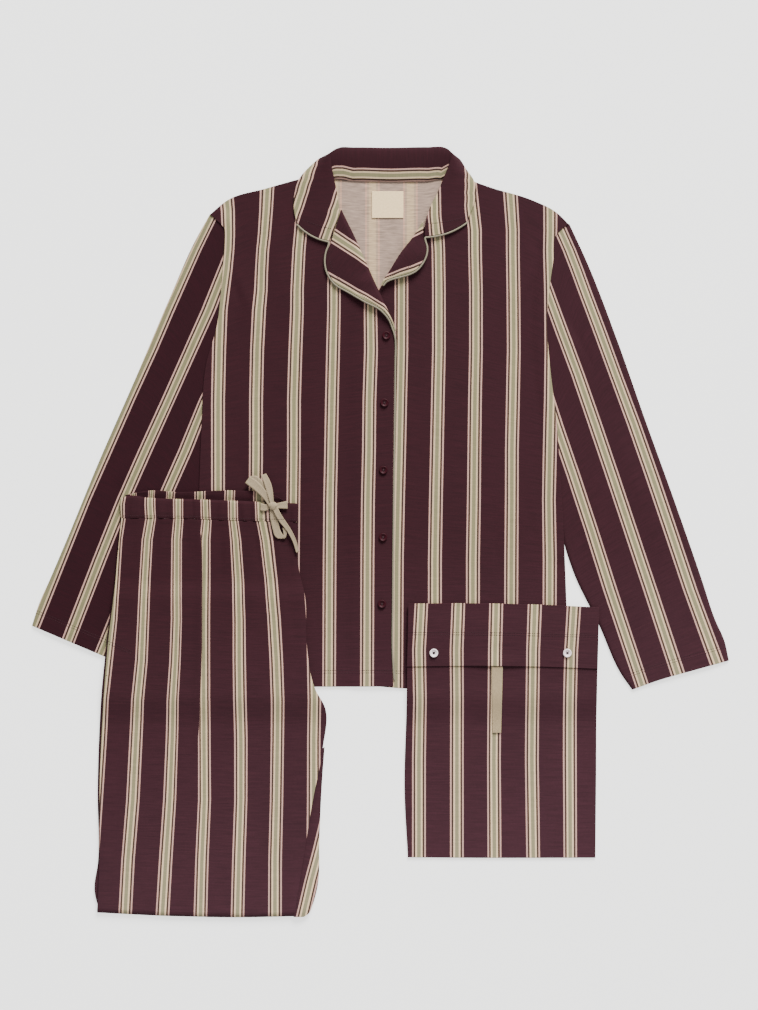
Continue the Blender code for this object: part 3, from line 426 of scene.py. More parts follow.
WRONG_SIDE = wrong_side()
PIPING = woven("sage piping", (0.140, 0.122, 0.083), 0.0011, 0.0011, 0.00012)
TAPE = woven("cotton tape", (0.236, 0.178, 0.102), 0.0012, 0.0009, 0.0002)
LABEL = woven("woven label", (0.612, 0.452, 0.248), 0.0008, 0.0008, 0.0001)
BOW_TAPE = woven("washed cotton tape", (0.195, 0.149, 0.092), 0.0012, 0.0009, 0.0002)
THREAD = woven("burgundy thread", (0.016, 0.0030, 0.0048), 0.0009, 0.0009, 0.00006, 0.8)
DARK_THREAD = woven("dark thread", (0.008, 0.002, 0.003), 0.0009, 0.0009, 0.00006, 0.6)
print("cloth finishes:", WRONG_SIDE.name, PIPING.name, TAPE.name, LABEL.name)


# %% Buttons
RESIN_CLOUD = (0.75, 1.2)


def resin(name, shade, roughness, shine):
    """Cast resin with a faint cloud in it."""
    finish = Finish(name, roughness, Specular_IOR_Level=shine)
    cloud = finish.noise(finish.object_place(), scale=260.0, detail=3.0, roughness=0.55)
    return finish.shade(Base_Color=finish.mix(cloud, *two_shades(shade, *RESIN_CLOUD)))


SHIRT_RESIN = resin("burgundy resin", (0.0195, 0.0015, 0.0038), 0.50, 0.09)
POUCH_RESIN = resin("pearly resin", (0.60, 0.51, 0.51), 0.35, 0.4)
print("button finishes:", SHIRT_RESIN.name, POUCH_RESIN.name)


# %% The floor
FLOOR_SIZE = 6.0
FLOOR_DROP = 0.0002
FLOOR_GREY = (0.42, 0.42, 0.412, 1.0)
FLOOR_GLOW = (1.0, 1.0, 0.982, 1.0)
FLOOR_GLOW_STRENGTH = 1.46


def make_floor():
    """A pale table that glows a little, so that shadows on it stay faint."""
    finish = Finish("plain floor", roughness=0.95, Specular_IOR_Level=0.1,
                    Emission_Strength=FLOOR_GLOW_STRENGTH)
    finish.shade(Base_Color=FLOOR_GREY, Emission_Color=FLOOR_GLOW)
    bm = bmesh.new()
    bmesh.ops.create_grid(bm, x_segments=1, y_segments=1, size=FLOOR_SIZE)
    bmesh.ops.translate(bm, verts=bm.verts, vec=(0.0, 0.0, -FLOOR_DROP))
    mesh = bpy.data.meshes.new("floor")
    bm.to_mesh(mesh)
    bm.free()
    mesh.materials.append(finish.material)
    floor = bpy.data.objects.new("floor", mesh)
    bpy.context.collection.objects.link(floor)


make_floor()
print("floor laid")

# %% [markdown]
# ## Sizes that the cloth shares with the solids
# Cloth that lies on cloth has to follow it closely, or the lower sheet shows through. Here
# the same few named sizes and edge tables that shape the solids are used again, in
# millimetres, and the sheets are cut much finer. The sizes called loft and rise are only the
# cloth's: they stand the lapels, the collar's leaves and rims and the pouch's front a little
# further off what they lie on, for their shadows. A patch is one piece of cloth between four
# edges; its points are filled in from the edges alone.

# %% Named sizes
WALL = 1.0
GAP = 0.35
CLOTH = 0.9
BAND_WALL = 2.2
BAND_WAVE = 0.8
FRONT_REST = WALL + GAP
LAP_LIFT = WALL + GAP
SIDE_LIFT = 1.8
TUCK = 5.0
STACK_REST = 4.5
STACK_FALL = (-217.0, -262.0)
SLEEVE_EDGE = 2.7
SLEEVE_RISE = 1.1
LEG_TOP = 2.4
LEG_KNEE = 5.0
LEG_HEM = (-62.0, -92.0)
LEG_GAP = 0.8
LEG_ROUND = 1.4
LAPEL_LOFT = 3.8
LEAF_LOFT = (1.2, 2.6)
RIM_LOFT = 0.5
FLAP_RISE = 0.9
TAB_GAP = 0.8
PIPING_WIDTH = 2.3
PIPING_GAP = 0.6
PIPED_RISE = PIPING_WIDTH / 2.0 - WALL / 2.0
CELL = 4.0
RIM = 0.7
EDGE_STEPS = 160
FOLD_ENDS = 0.35
MERGE = 0.00001

Patch = namedtuple("Patch", "left right foot head")
Fold = namedtuple("Fold", "x0 y0 x1 y1 width height")
Spot = namedtuple("Spot", "x y")
PLACKET_TURN = Spot(19.9, 262.0)
print("one layer:", CLOTH, "mm, cells of about", CELL, "mm")


# %% Curves and patches
def ramp(value, start, end):
    """Smooth step from 0 at start to 1 at end."""
    share = np.clip((value - start) / (end - start), 0.0, 1.0)
    return share * share * (3.0 - 2.0 * share)


def knots_of(rows):
    """Distances along a table's rows."""
    steps = np.linalg.norm(np.diff(rows, axis=0), axis=1)
    return np.concatenate(([0.0], np.cumsum(steps)))


def smooth_rows(rows, places):
    """Rows at the given shares of the way along a smooth curve through a table."""
    rows = np.array(rows, dtype=float)
    knots = knots_of(rows)
    if len(rows) == 2:
        return rows[0] * (1.0 - places[:, None]) + rows[1] * places[:, None]
    slopes = np.gradient(rows, knots, axis=0)
    places = places * knots[-1]
    lower = np.clip(np.searchsorted(knots, places, side="right") - 1, 0, len(knots) - 2)
    span = (knots[1:] - knots[:-1])[lower][:, None]
    t = (places[:, None] - knots[lower][:, None]) / span
    start = (2 * t**3 - 3 * t**2 + 1) * rows[lower] + (t**3 - 2 * t**2 + t) * span * slopes[lower]
    end = (3 * t**2 - 2 * t**3) * rows[lower + 1] + (t**3 - t**2) * span * slopes[lower + 1]
    return start + end


def shares(count, rim=()):
    """Even shares from 0 to 1, with more of them close to both ends."""
    even = np.linspace(0.0, 1.0, count + 1)
    return np.sort(np.concatenate((even, rim, 1.0 - np.array(rim))))


def foot_of(patch):
    """The edge from the start of a patch's left to the start of its right."""
    return (patch.left[0], *patch.foot, patch.right[0])


def head_of(patch):
    """The edge from the end of a patch's left to the end of its right."""
    return (patch.left[-1], *patch.head, patch.right[-1])


def longest(*edges):
    return max(knots_of(np.array(edge, dtype=float))[-1] for edge in edges)


def patch_plan(patch, cell=CELL, rim=RIM, across=None):
    """Plan points of a patch: rows from foot to head, each from left to right."""
    length = longest(patch.left, patch.right)
    width = longest(foot_of(patch), head_of(patch))
    if across is None:
        across = shares(max(2, round(width / cell)), (rim / width,))
    along = shares(max(2, round(length / cell)), (rim / length,))
    left = smooth_rows(patch.left, along)
    right = smooth_rows(patch.right, along)
    foot = smooth_rows(foot_of(patch), across)
    head = smooth_rows(head_of(patch), across)
    u = across[None, :, None]
    v = along[:, None, None]
    sides = left[:, None, :] * (1.0 - u) + right[:, None, :] * u
    ends = foot[None, :, :] * (1.0 - v) + head[None, :, :] * v
    low = foot[0] * (1.0 - u) + foot[-1] * u
    high = head[0] * (1.0 - u) + head[-1] * u
    return sides + ends - low * (1.0 - v) - high * v


def distance_to(edge, x, y):
    """Plan distance from each point to an edge table's curve."""
    curve = smooth_rows(edge, shares(EDGE_STEPS))
    best = np.full(np.shape(x), np.inf)
    for px, py in curve:
        best = np.minimum(best, (x - px) ** 2 + (y - py) ** 2)
    return np.sqrt(best)


def swell(folds, x, y):
    """Height of the soft folds at plan points; a negative height is a trough."""
    total = np.zeros(np.shape(x))
    for fold in folds:
        length = math.hypot(fold.x1 - fold.x0, fold.y1 - fold.y0)
        ux = (fold.x1 - fold.x0) / length
        uy = (fold.y1 - fold.y0) / length
        run = np.clip((x - fold.x0) * ux + (y - fold.y0) * uy, 0.0, length)
        off = np.hypot(x - fold.x0 - run * ux, y - fold.y0 - run * uy)
        crest = FOLD_ENDS + (1.0 - FOLD_ENDS) * np.sin(math.pi * run / length)
        total += fold.height * crest * (1.0 - ramp(off, 0.0, fold.width))
    return total


print("curve and patch helpers ready")

# %% [markdown]
# ## From points to cloth
# A sheet starts as a flat grid from Blender's own grid operator. Each of its corners is then
# moved to its place on the lying cloth. Every corner also keeps its cloth coordinates, so
# the print knows where it is across the grain. A Solidify modifier gives the wall, and can
# give the underside another finish, since a print has a wrong side.

# %% The cloth builder
PIECES = []


def keep(bm, name, *finishes):
    """Object at the origin from a finished bmesh; it rides on the root body."""
    mesh = bpy.data.meshes.new(name)
    bm.to_mesh(mesh)
    bm.free()
    for finish in finishes:
        mesh.materials.append(finish)
    piece = bpy.data.objects.new(name, mesh)
    bpy.context.collection.objects.link(piece)
    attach(piece, "root")
    PIECES.append(piece)
    return piece


def grid_of(points, grain, closed=False):
    """Bmesh grid moved to the given points (rows, columns, xyz), with its cloth coordinates."""
    rows, columns = points.shape[:2]
    bm = bmesh.new()
    bmesh.ops.create_grid(bm, x_segments=columns - 1, y_segments=rows - 1, size=1.0)
    flat = np.array([vert.co[:2] for vert in bm.verts])
    column = np.rint((flat[:, 0] + 1.0) / 2.0 * (columns - 1)).astype(int)
    row = np.rint((flat[:, 1] + 1.0) / 2.0 * (rows - 1)).astype(int)
    for vert, point in zip(bm.verts, points[row, column] * MM):
        vert.co = point
    layer = bm.loops.layers.uv.new("cloth")
    spots = grain[row, column] * MM
    bm.verts.index_update()
    make_smooth(bm)
    for face in bm.faces:
        for loop in face.loops:
            loop[layer].uv = spots[loop.vert.index]
    if closed:
        bmesh.ops.remove_doubles(bm, verts=bm.verts, dist=MERGE)
    face_up(bm)
    return bm


def make_smooth(bm):
    for face in bm.faces:
        face.smooth = True


def face_up(bm):
    """Turn all faces over if the ones on top look down."""
    bm.normal_update()
    middle = sum(vert.co.z for vert in bm.verts) / len(bm.verts)
    lean = sum(face.normal.z * face.calc_area() for face in bm.faces
               if face.calc_center_median().z >= middle)
    if lean < 0.0:
        bmesh.ops.reverse_faces(bm, faces=bm.faces)


def cloth(name, points, grain, finish, lining=None, wall=CLOTH):
    """Sheet of cloth with a wall half to each side of its points."""
    bm = grid_of(points, grain)
    piece = keep(bm, name, finish, lining or finish)
    thick = piece.modifiers.new("wall", "SOLIDIFY")
    thick.thickness = wall * MM
    thick.offset = 0.0
    thick.material_offset = 1
    thick.use_quality_normals = True
    return piece


def grain_along(plan, across):
    """Cloth coordinates: the given place across the grain, and the length along the rows."""
    middle = plan[:, plan.shape[1] // 2, :2]
    along = knots_of(middle)
    return np.dstack((across, np.broadcast_to(along[:, None], across.shape)))


def flat_area(plan):
    """Area in square metres of a plan's cells, each half the cross of its diagonals."""
    one = plan[1:, 1:, :2] - plan[:-1, :-1, :2]
    two = plan[1:, :-1, :2] - plan[:-1, 1:, :2]
    cells = np.abs(one[..., 0] * two[..., 1] - one[..., 1] * two[..., 0])
    return float(cells.sum() / 2.0) * MM * MM


print("cloth builder ready")

# %% [markdown]
# ## Where the stripes run
# Cloth that is cut, gathered and laid down does not keep its stripes straight. For each
# panel a short table gives, at a few places along it, where the middle of each stripe group
# lies. Between those places the groups run smoothly, and outside them one repeat apart.

# %% Stripe tables, with the columns y, then the x of each group's middle
NONE = float("nan")
TABLE_REACH = 90.0
FRONT_OVER_STRIPES = (
    (461.0, -209.0, -152.7, -103.5, NONE, NONE),
    (435.4, -206.2, -154.2, -105.4, NONE, NONE),
    (401.6, -205.2, -156.9, -108.2, NONE, NONE),
    (381.4, -205.9, -159.3, -110.0, NONE, NONE),
    (354.4, -208.6, -160.7, -111.4, NONE, NONE),
    (327.4, -212.6, -161.3, -112.7, -62.8, NONE),
    (300.4, -216.0, -164.0, -112.7, -62.8, -13.5),
    (246.4, -218.0, -166.7, -114.8, -64.1, -12.8),
    (178.9, -219.4, -168.1, -116.8, -65.5, -14.9),
    (111.4, -219.4, -168.1, -116.8, -66.8, -15.5),
    (43.9, -219.4, -168.8, -117.5, -68.2, -16.9),
    (-37.1, -219.4, -169.4, -118.0, -68.9, -17.6),
    (-199.1, -219.4, -169.8, -118.6, -69.5, -18.2),
)
FRONT_UNDER_STRIPES = (
    (448.9, NONE, NONE, 122.9, 176.2, NONE),
    (408.4, NONE, NONE, 127.6, 178.9, 229.5),
    (381.4, NONE, 78.3, 127.6, 178.9, 228.8),
    (327.4, 28.4, 79.0, 128.9, 179.6, 230.2),
    (246.4, 28.2, 79.0, 128.9, 180.2, 230.9),
    (178.9, 26.7, 77.6, 127.6, 178.9, 230.2),
    (111.4, 25.3, 76.3, 126.9, 177.5, 228.8),
    (43.9, 23.7, 74.9, 126.2, 177.5, 227.5),
    (-37.1, 22.0, 73.6, 124.9, 176.9, 228.8),
    (-199.1, 20.9, 73.6, 124.9, 176.2, 228.2),
)
SLEEVE_LEFT_STRIPES = (
    (421.0, -231.8, NONE, NONE),
    (381.4, -251.1, NONE, NONE),
    (300.4, -287.6, -232.2, NONE),
    (246.4, -310.5, -256.5, NONE),
    (178.9, -341.6, -286.2, -236.3),
    (111.4, -371.2, -317.2, -263.2),
    (43.9, -401.0, -347.0, -293.0),
    (-37.1, -433.4, -379.4, -326.7),
    (-118.1, -465.8, -410.4, -359.3),
)
SLEEVE_RIGHT_STRIPES = (
    (401.6, NONE, NONE, 246.2),
    (381.4, NONE, NONE, 255.2),
    (354.4, NONE, NONE, 265.6),
    (327.4, NONE, NONE, 275.4),
    (273.4, NONE, 244.4, 295.7),
    (212.6, NONE, 267.0, 317.9),
    (145.1, NONE, 290.2, 342.9),
    (77.6, 260.6, 312.9, 366.5),
    (3.4, 284.9, 337.5, 391.5),
    (-77.6, 310.5, 364.5, 418.5),
    (-158.6, 337.5, 390.8, 448.2),
)
LEG_STRIPES = (
    (16.9, -351.5, -309.8, -272.7, -234.2, -198.5, -160.7, -98.0),
    (-10.1, -355.5, -314.6, -274.7, -236.9, -195.1, -155.2, -97.0),
    (-64.1, -358.8, -317.9, -274.7, -237.6, -191.7, -148.5, -94.0),
    (-118.1, -362.4, -320.0, -274.1, -238.3, -190.4, -143.8, -90.5),
    (-172.1, -369.0, -322.0, -276.1, -238.3, -190.4, -140.4, -90.0),
    (-226.1, -375.0, -327.4, -279.5, -238.3, -189.7, -138.4, -89.0),
    (-280.1, -378.0, -330.1, -280.8, -238.3, -188.3, -139.1, -90.0),
    (-361.1, -383.4, -334.1, -284.2, -237.6, -188.3, -140.4, -90.0),
    (-442.1, -388.8, -340.9, -289.6, -241.0, -191.0, -142.4, -90.5),
    (-496.1, -393.0, -343.6, -293.0, -242.3, -192.4, -142.4, -91.0),
)
LEG_BACK_STRIPES = (
    (-293.0, -50.0), (-428.6, -82.4), (-469.1, -93.2), (-512.3, -103.3),
)
BAND_STRIPES = (
    (48.0, -350.5, -310.5, -272.7, -236.3, -199.1, -162.7, -99.0),
    (38.0, -352.5, -310.5, -272.7, -236.0, -199.0, -162.5, -99.0),
    (17.0, -352.5, -309.2, -272.7, -235.3, -198.8, -161.7, -98.0),
)
BAND_BACK_STRIPES = (
    (56.0, -308.6, -284.0, -243.4, -202.9, -164.5, -90.0),
    (37.5, -310.0, -286.0, -243.7, -203.9, -165.0, -90.0),
)
POUCH_STRIPES = (
    (-107.3, 54.7, 104.6, 155.9, 207.9, 260.6),
    (-158.6, 52.0, 102.6, 154.6, 205.9, 257.2),
    (-226.1, 53.3, 103.3, 153.9, 205.2, 255.8),
    (-307.1, 52.0, 103.3, 153.2, 204.5, 255.8),
    (-436.7, 52.0, 103.3, 153.9, 206.6, 256.5),
)
LAPEL_LEFT_STRIPES = (
    (-67.5, -403.0, -339.0), (-47.2, -389.5, -328.0), (-32.0, -379.5, -319.0),
    (-18.9, -369.2, -312.5), (5.1, -354.0, -297.7), (12.0, -346.0, -289.0),
    (17.0, -337.0, -280.0), (21.0, -328.0, -271.0),
)
LAPEL_RIGHT_STRIPES = (
    (59.4, -416.5, -357.1), (44.6, -408.4, -350.9), (25.7, -397.6, -345.5),
    (12.2, -389.5, -340.3),
)


def fill_gaps(middles):
    """Places for the groups that a row leaves out, in even steps from those that it has."""
    for row in middles:
        known = np.flatnonzero(~np.isnan(row))
        first, last = known[0], known[-1]
        step = (row[last] - row[first]) / (last - first) if last > first else REPEAT
        for place in np.flatnonzero(np.isnan(row)):
            near = known[np.argmin(np.abs(known - place))]
            row[place] = row[near] + (place - near) * step


def stripes_across(x, y, table):
    """Place across the grain in millimetres; past its ends a table's lines run straight on."""
    rows = np.array(sorted(table))
    fill_gaps(rows[:, 1:])
    before = rows[0] + (rows[0] - rows[1]) / (rows[1, 0] - rows[0, 0]) * TABLE_REACH
    after = rows[-1] + (rows[-1] - rows[-2]) / (rows[-1, 0] - rows[-2, 0]) * TABLE_REACH
    rows = np.vstack((before, rows, after))
    lines = [np.interp(y, rows[:, 0], line) for line in rows[:, 1:].T]
    first = lines[1] - lines[0] if len(lines) > 1 else REPEAT
    last = lines[-1] - lines[-2] if len(lines) > 1 else REPEAT
    across = np.minimum(x - lines[0], 0.0) / first + np.maximum(x - lines[-1], 0.0) / last
    for low, high in zip(lines, lines[1:]):
        across = across + np.clip((x - low) / (high - low), 0.0, 1.0)
    return across * REPEAT


print("stripe tables:", len(FRONT_OVER_STRIPES), "places along the upper front")

# %% [markdown]
# ## The outlines
# Every panel lies between edges that a tailor would name: side, placket, armhole, cuff. An
# edge is a few points of a smooth curve, with the columns x and y in millimetres from the
# middle of the set. The shirt's two sides are given once, because the fronts and the back
# both use them. Two outlines differ from their solids': the strip of the leg's back is a
# little fuller at its lower right, and the inside of the casing ends sooner at its right.

# %% Edges of the panels
SIDE_LEFT = (
    (-248.5, -205.0), (-248.0, -100.0), (-245.0, 58.5), (-241.5, 145.0), (-235.5, 227.5),
    (-221.0, 279.0), (-215.0, 330.0), (-211.5, 385.0), (-212.0, 412.0), (-221.0, 421.5),
    (-230.0, 429.5),
)
SIDE_RIGHT = (
    (253.0, -206.0), (251.5, -100.0), (245.0, 44.0), (237.5, 152.0), (228.5, 230.0),
    (225.0, 282.0), (229.0, 335.5), (234.0, 372.0), (236.0, 399.0), (244.5, 409.5),
    (254.0, 416.5),
)
PLACKET_EDGE = (
    (17.5, -208.0), (14.8, -165.0), (15.0, -91.0), (17.2, 118.0), (17.9, 176.0),
    (18.4, 230.0), (18.6, 254.0), (6.0, 299.0), (-15.0, 347.5), (-38.0, 396.0),
    (-59.5, 441.0), (-74.0, 486.5),
)
UNDER_EDGE = (
    (-16.0, -207.0), (-15.5, -91.0), (-13.5, 111.5), (-11.5, 253.0), (-9.0, 305.0),
    (-4.0, 323.0), (4.0, 337.5), (17.0, 354.0), (42.0, 388.0), (65.5, 422.5),
    (83.0, 458.0), (105.5, 481.5),
)
FRONT_OVER = Patch(
    left=SIDE_LEFT,
    right=PLACKET_EDGE,
    foot=((-175.5, -208.0), (-67.5, -208.5)),
    head=((-206.5, 449.0), (-154.0, 465.0), (-100.0, 480.0)),
)
FRONT_UNDER = Patch(
    left=UNDER_EDGE,
    right=SIDE_RIGHT,
    foot=((36.0, -211.0), (135.0, -210.5)),
    head=((152.5, 465.0), (205.0, 449.0), (237.5, 432.5)),
)
BACK_INSET = TUCK + 5.5
BACK_TIP_LEFT = (-208.0, 427.0)
BACK_TIP_RIGHT = (231.0, 421.0)
BACK_NECK = (
    (-196.0, 446.0), (-154.0, 462.0), (-104.0, 476.0), (-76.0, 483.0), (-62.0, 479.5),
    (-40.0, 477.5), (13.5, 476.5), (66.0, 477.0), (90.0, 481.0), (106.0, 479.0),
    (152.5, 462.0), (198.0, 446.0), (220.0, 433.0),
)
SLEEVE_LEFT = Patch(
    left=(
        (-230.5, 430.0), (-250.0, 395.0), (-286.0, 314.0), (-332.0, 206.0), (-379.5, 98.0),
        (-424.0, -10.0), (-447.0, -64.0), (-462.0, -98.0), (-471.0, -126.0),
    ),
    right=(
        (-215.0, 300.0), (-220.0, 272.0), (-230.5, 227.5), (-236.5, 145.0), (-240.5, 58.5),
        (-246.5, 15.0), (-262.0, -44.0), (-304.0, -118.0), (-346.0, -179.0),
    ),
    foot=((-219.0, 429.0), (-210.0, 417.0), (-207.5, 385.0), (-209.5, 340.0)),
    head=(),
)
SLEEVE_RIGHT = Patch(
    left=(
        (221.0, 300.0), (220.0, 268.0), (224.0, 230.0), (233.0, 152.0), (240.0, 44.0),
        (247.0, -10.0), (260.5, -53.0), (295.5, -125.5), (326.5, -193.5), (340.0, -212.5),
    ),
    right=(
        (255.5, 416.5), (278.0, 368.0), (320.0, 260.0), (358.0, 152.0), (397.0, 44.0),
        (434.5, -64.0), (452.5, -118.0), (465.0, -146.5), (471.0, -173.0),
    ),
    foot=((223.0, 340.0), (229.0, 388.0), (231.5, 408.0), (242.5, 417.5)),
    head=((378.0, -199.0), (424.0, -186.0)),
)
LAPEL_LEFT = Patch(
    left=(
        (-67.0, 390.0), (-72.0, 378.0), (-72.2, 356.0), (-61.3, 337.1), (-43.2, 326.1),
        (-20.3, 312.6), (0.6, 301.6), (12.2, 288.9), (19.0, 273.0),
    ),
    right=(
        (-53.0, 436.0), (-46.0, 422.0), (-26.5, 380.5), (-12.0, 347.5), (5.5, 309.5),
        (16.0, 287.0), (21.5, 271.5),
    ),
    foot=(),
    head=(),
)
LAPEL_RIGHT = Patch(
    left=(
        (57.5, 420.0), (43.0, 397.5), (26.8, 376.5), (12.5, 353.5), (5.6, 343.3), (0.5, 334.0),
    ),
    right=(
        (57.5, 396.0), (61.5, 385.0), (61.0, 376.0), (56.0, 364.5), (47.5, 354.5), (38.0, 349.5),
        (24.0, 345.5), (13.5, 342.5), (6.0, 338.5), (2.0, 333.0),
    ),
    foot=(),
    head=(),
)
LEG_FRONT = Patch(
    left=(
        (-349.5, 19.0), (-353.2, -17.0), (-360.3, -92.0), (-366.0, -137.0), (-371.0, -192.0),
        (-374.0, -234.0), (-377.2, -290.0), (-379.0, -347.5), (-379.0, -400.0), (-380.0, -453.0),
        (-382.5, -513.0),
    ),
    right=(
        (-111.5, 14.0), (-110.5, -46.5), (-101.5, -88.0), (-99.5, -150.0), (-88.0, -211.0),
        (-74.5, -236.5), (-77.5, -290.0), (-91.5, -363.0), (-103.5, -438.0),
        (-116.0, -518.0),
    ),
    foot=((-279.5, 19.0), (-202.5, 16.0)),
    head=((-291.5, -517.5), (-194.5, -519.5)),
)
LEG_BACK = Patch(
    left=(
        (-78.0, -291.5), (-86.8, -343.0), (-96.6, -391.0), (-108.5, -467.0), (-117.5, -519.0),
    ),
    right=(
        (-75.5, -289.5), (-79.0, -341.0), (-82.5, -415.0), (-85.0, -478.0), (-88.5, -493.0),
        (-92.0, -503.5), (-97.0, -514.5), (-103.5, -519.0),
    ),
    foot=(),
    head=(),
)
LEG_UNDER = Patch(
    left=(
        (-349.5, 35.0), (-355.5, -42.0), (-368.0, -136.0), (-377.0, -225.0),
        (-382.0, -347.5), (-381.5, -445.0), (-386.3, -484.0), (-380.5, -509.0),
    ),
    right=(
        (-113.5, 35.0), (-112.5, -46.5), (-103.8, -93.0), (-101.8, -150.0),
        (-91.0, -209.0), (-78.5, -236.5), (-79.5, -300.0), (-83.5, -404.0),
        (-89.5, -480.0), (-110.0, -511.0),
    ),
    foot=((-270.0, 35.5), (-190.0, 35.5)),
    head=((-291.5, -513.0), (-194.5, -514.0)),
)
BAND_FRONT = Patch(
    left=((-349.5, 19.7), (-351.5, 45.0)),
    right=((-111.5, 14.7), (-110.5, 39.0)),
    foot=((-279.5, 19.7), (-202.5, 16.7)),
    head=((-340.0, 49.5), (-315.0, 47.0), (-243.0, 44.5), (-166.0, 41.5)),
)
BAND_BACK = Patch(
    left=((-346.5, 37.5), (-344.0, 50.5)),
    right=((-126.5, 37.5), (-129.5, 42.5)),
    foot=((-270.0, 37.5), (-190.0, 37.5)),
    head=((-331.5, 53.0), (-316.0, 56.0), (-270.0, 54.5), (-193.0, 56.5), (-145.0, 51.5)),
)
POUCH_BACK = Patch(
    left=((38.5, -98.0), (36.0, -230.0), (33.8, -361.0), (38.0, -437.5)),
    right=((294.0, -102.5), (292.0, -186.0), (290.5, -330.0), (289.5, -438.0)),
    foot=((218.5, -99.5),),
    head=((129.0, -438.2),),
)
POUCH_FRONT = Patch(
    left=((36.5, -128.0), (35.0, -240.0), (32.5, -350.0), (37.0, -439.0)),
    right=((294.0, -132.0), (292.0, -240.0), (291.5, -330.0), (290.5, -439.5)),
    foot=((150.0, -128.5),),
    head=((129.0, -439.7),),
)
POUCH_FLAP = Patch(
    left=((35.5, -181.0), (36.8, -138.0), (37.5, -96.0)),
    right=((293.0, -184.0), (294.2, -134.0), (295.0, -101.0)),
    foot=((146.0, -180.0), (230.5, -181.5)),
    head=((110.0, -95.5), (218.5, -97.5)),
)
TAB_EDGES = Patch(
    left=((150.0, -180.8), (151.5, -270.5)),
    right=((165.0, -180.8), (163.0, -270.5)),
    foot=(),
    head=(),
)
LABEL_EDGES = Patch(
    left=((-11.5, 425.0), (-11.5, 461.0)),
    right=((31.0, 425.0), (31.0, 461.0)),
    foot=(),
    head=(),
)

print("outlines of the panels ready")

# %% [markdown]
# ## Soft swells and creases
# Jersey never lies quite flat. Air stays under it in long low swells, and where it was held
# or folded it keeps shallow creases. Each one is given as a line with a width and a
# height, so that they differ in length, depth and spacing. The swells are those of the
# solids, and the creases, with small or negative heights, are only in the cloth.

# %% Swells
SHIRT_FOLDS = (
    Fold(-196.0, 372.0, -160.0, 250.0, 26.0, 1.3),
    Fold(-150.0, 430.0, -128.0, 300.0, 30.0, 0.9),
    Fold(-110.0, 250.0, -95.0, 60.0, 34.0, 0.8),
    Fold(196.0, 372.0, 168.0, 250.0, 26.0, 1.3),
    Fold(160.0, 430.0, 138.0, 300.0, 30.0, 0.9),
    Fold(150.0, 180.0, 120.0, -20.0, 34.0, 0.9),
    Fold(70.0, 300.0, 64.0, 120.0, 28.0, 0.7),
    Fold(-190.0, 200.0, -170.0, 80.0, 30.0, 0.9),
)
SLEEVE_FOLDS = (
    Fold(-232.0, 300.0, -262.0, 250.0, 16.0, 1.6),
    Fold(-300.0, 180.0, -380.0, 0.0, 26.0, 0.9),
    Fold(236.0, 300.0, 268.0, 240.0, 16.0, 1.5),
    Fold(318.0, 140.0, 388.0, -40.0, 26.0, 0.9),
)
LEG_FOLDS = (
    Fold(-239.0, -5.0, -244.0, -290.0, 12.0, 1.7),
    Fold(-326.0, 0.0, -338.0, -110.0, 20.0, 0.9),
    Fold(-285.0, -10.0, -292.0, -90.0, 16.0, 0.8),
    Fold(-180.0, -10.0, -170.0, -120.0, 18.0, 1.0),
    Fold(-140.0, -20.0, -125.0, -150.0, 18.0, 0.9),
    Fold(-200.0, -330.0, -195.0, -490.0, 30.0, 0.8),
    Fold(-330.0, -230.0, -335.0, -420.0, 26.0, 0.8),
)
POUCH_FOLDS = (
    Fold(90.0, -240.0, 84.0, -400.0, 40.0, 0.8),
    Fold(230.0, -230.0, 238.0, -400.0, 40.0, 0.8),
)

print("swells:", len(SHIRT_FOLDS) + len(SLEEVE_FOLDS) + len(LEG_FOLDS) + len(POUCH_FOLDS))

# %% Creases that only the cloth has
SHIRT_CREASES = (
    Fold(-205.0, 352.0, -186.0, 300.0, 7.0, -0.5),
    Fold(-196.0, 358.0, -168.0, 286.0, 9.0, 0.5),
    Fold(-178.0, 120.0, -196.0, 20.0, 9.0, -0.4),
    Fold(-88.0, 210.0, -92.0, 130.0, 8.0, 0.4),
    Fold(-60.0, 60.0, -48.0, -40.0, 9.0, -0.35),
    Fold(-36.0, -70.0, -40.0, -160.0, 8.0, 0.4),
    Fold(216.0, 350.0, 190.0, 300.0, 7.0, -0.5),
    Fold(206.0, 362.0, 176.0, 294.0, 9.0, 0.5),
    Fold(96.0, 150.0, 88.0, 60.0, 9.0, -0.35),
    Fold(52.0, -30.0, 60.0, -140.0, 9.0, 0.4),
    Fold(150.0, 40.0, 160.0, -60.0, 8.0, -0.4),
    Fold(200.0, 90.0, 214.0, -10.0, 9.0, 0.4),
)
LEG_CREASES = (
    Fold(-300.0, 14.0, -306.0, -46.0, 7.0, -1.1),
    Fold(-262.0, 14.0, -260.0, -34.0, 6.0, -0.9),
    Fold(-214.0, 14.0, -216.0, -60.0, 7.0, -1.1),
    Fold(-170.0, 12.0, -164.0, -46.0, 6.0, -0.9),
    Fold(-322.0, 14.0, -328.0, -30.0, 6.0, 0.9),
    Fold(-281.0, 14.0, -284.0, -22.0, 5.0, 0.8),
    Fold(-246.0, 14.0, -245.0, -26.0, 6.0, 0.8),
    Fold(-192.0, 12.0, -190.0, -48.0, 6.0, 1.0),
    Fold(-140.0, 10.0, -134.0, -50.0, 6.0, 0.9),
    Fold(-126.0, 6.0, -119.0, -60.0, 5.0, -0.8),
    Fold(-352.0, -70.0, -358.0, -130.0, 8.0, -0.5),
    Fold(-128.0, -60.0, -118.0, -150.0, 8.0, -0.5),
    Fold(-150.0, -350.0, -146.0, -450.0, 10.0, 0.5),
    Fold(-300.0, -380.0, -312.0, -470.0, 10.0, -0.4),
)
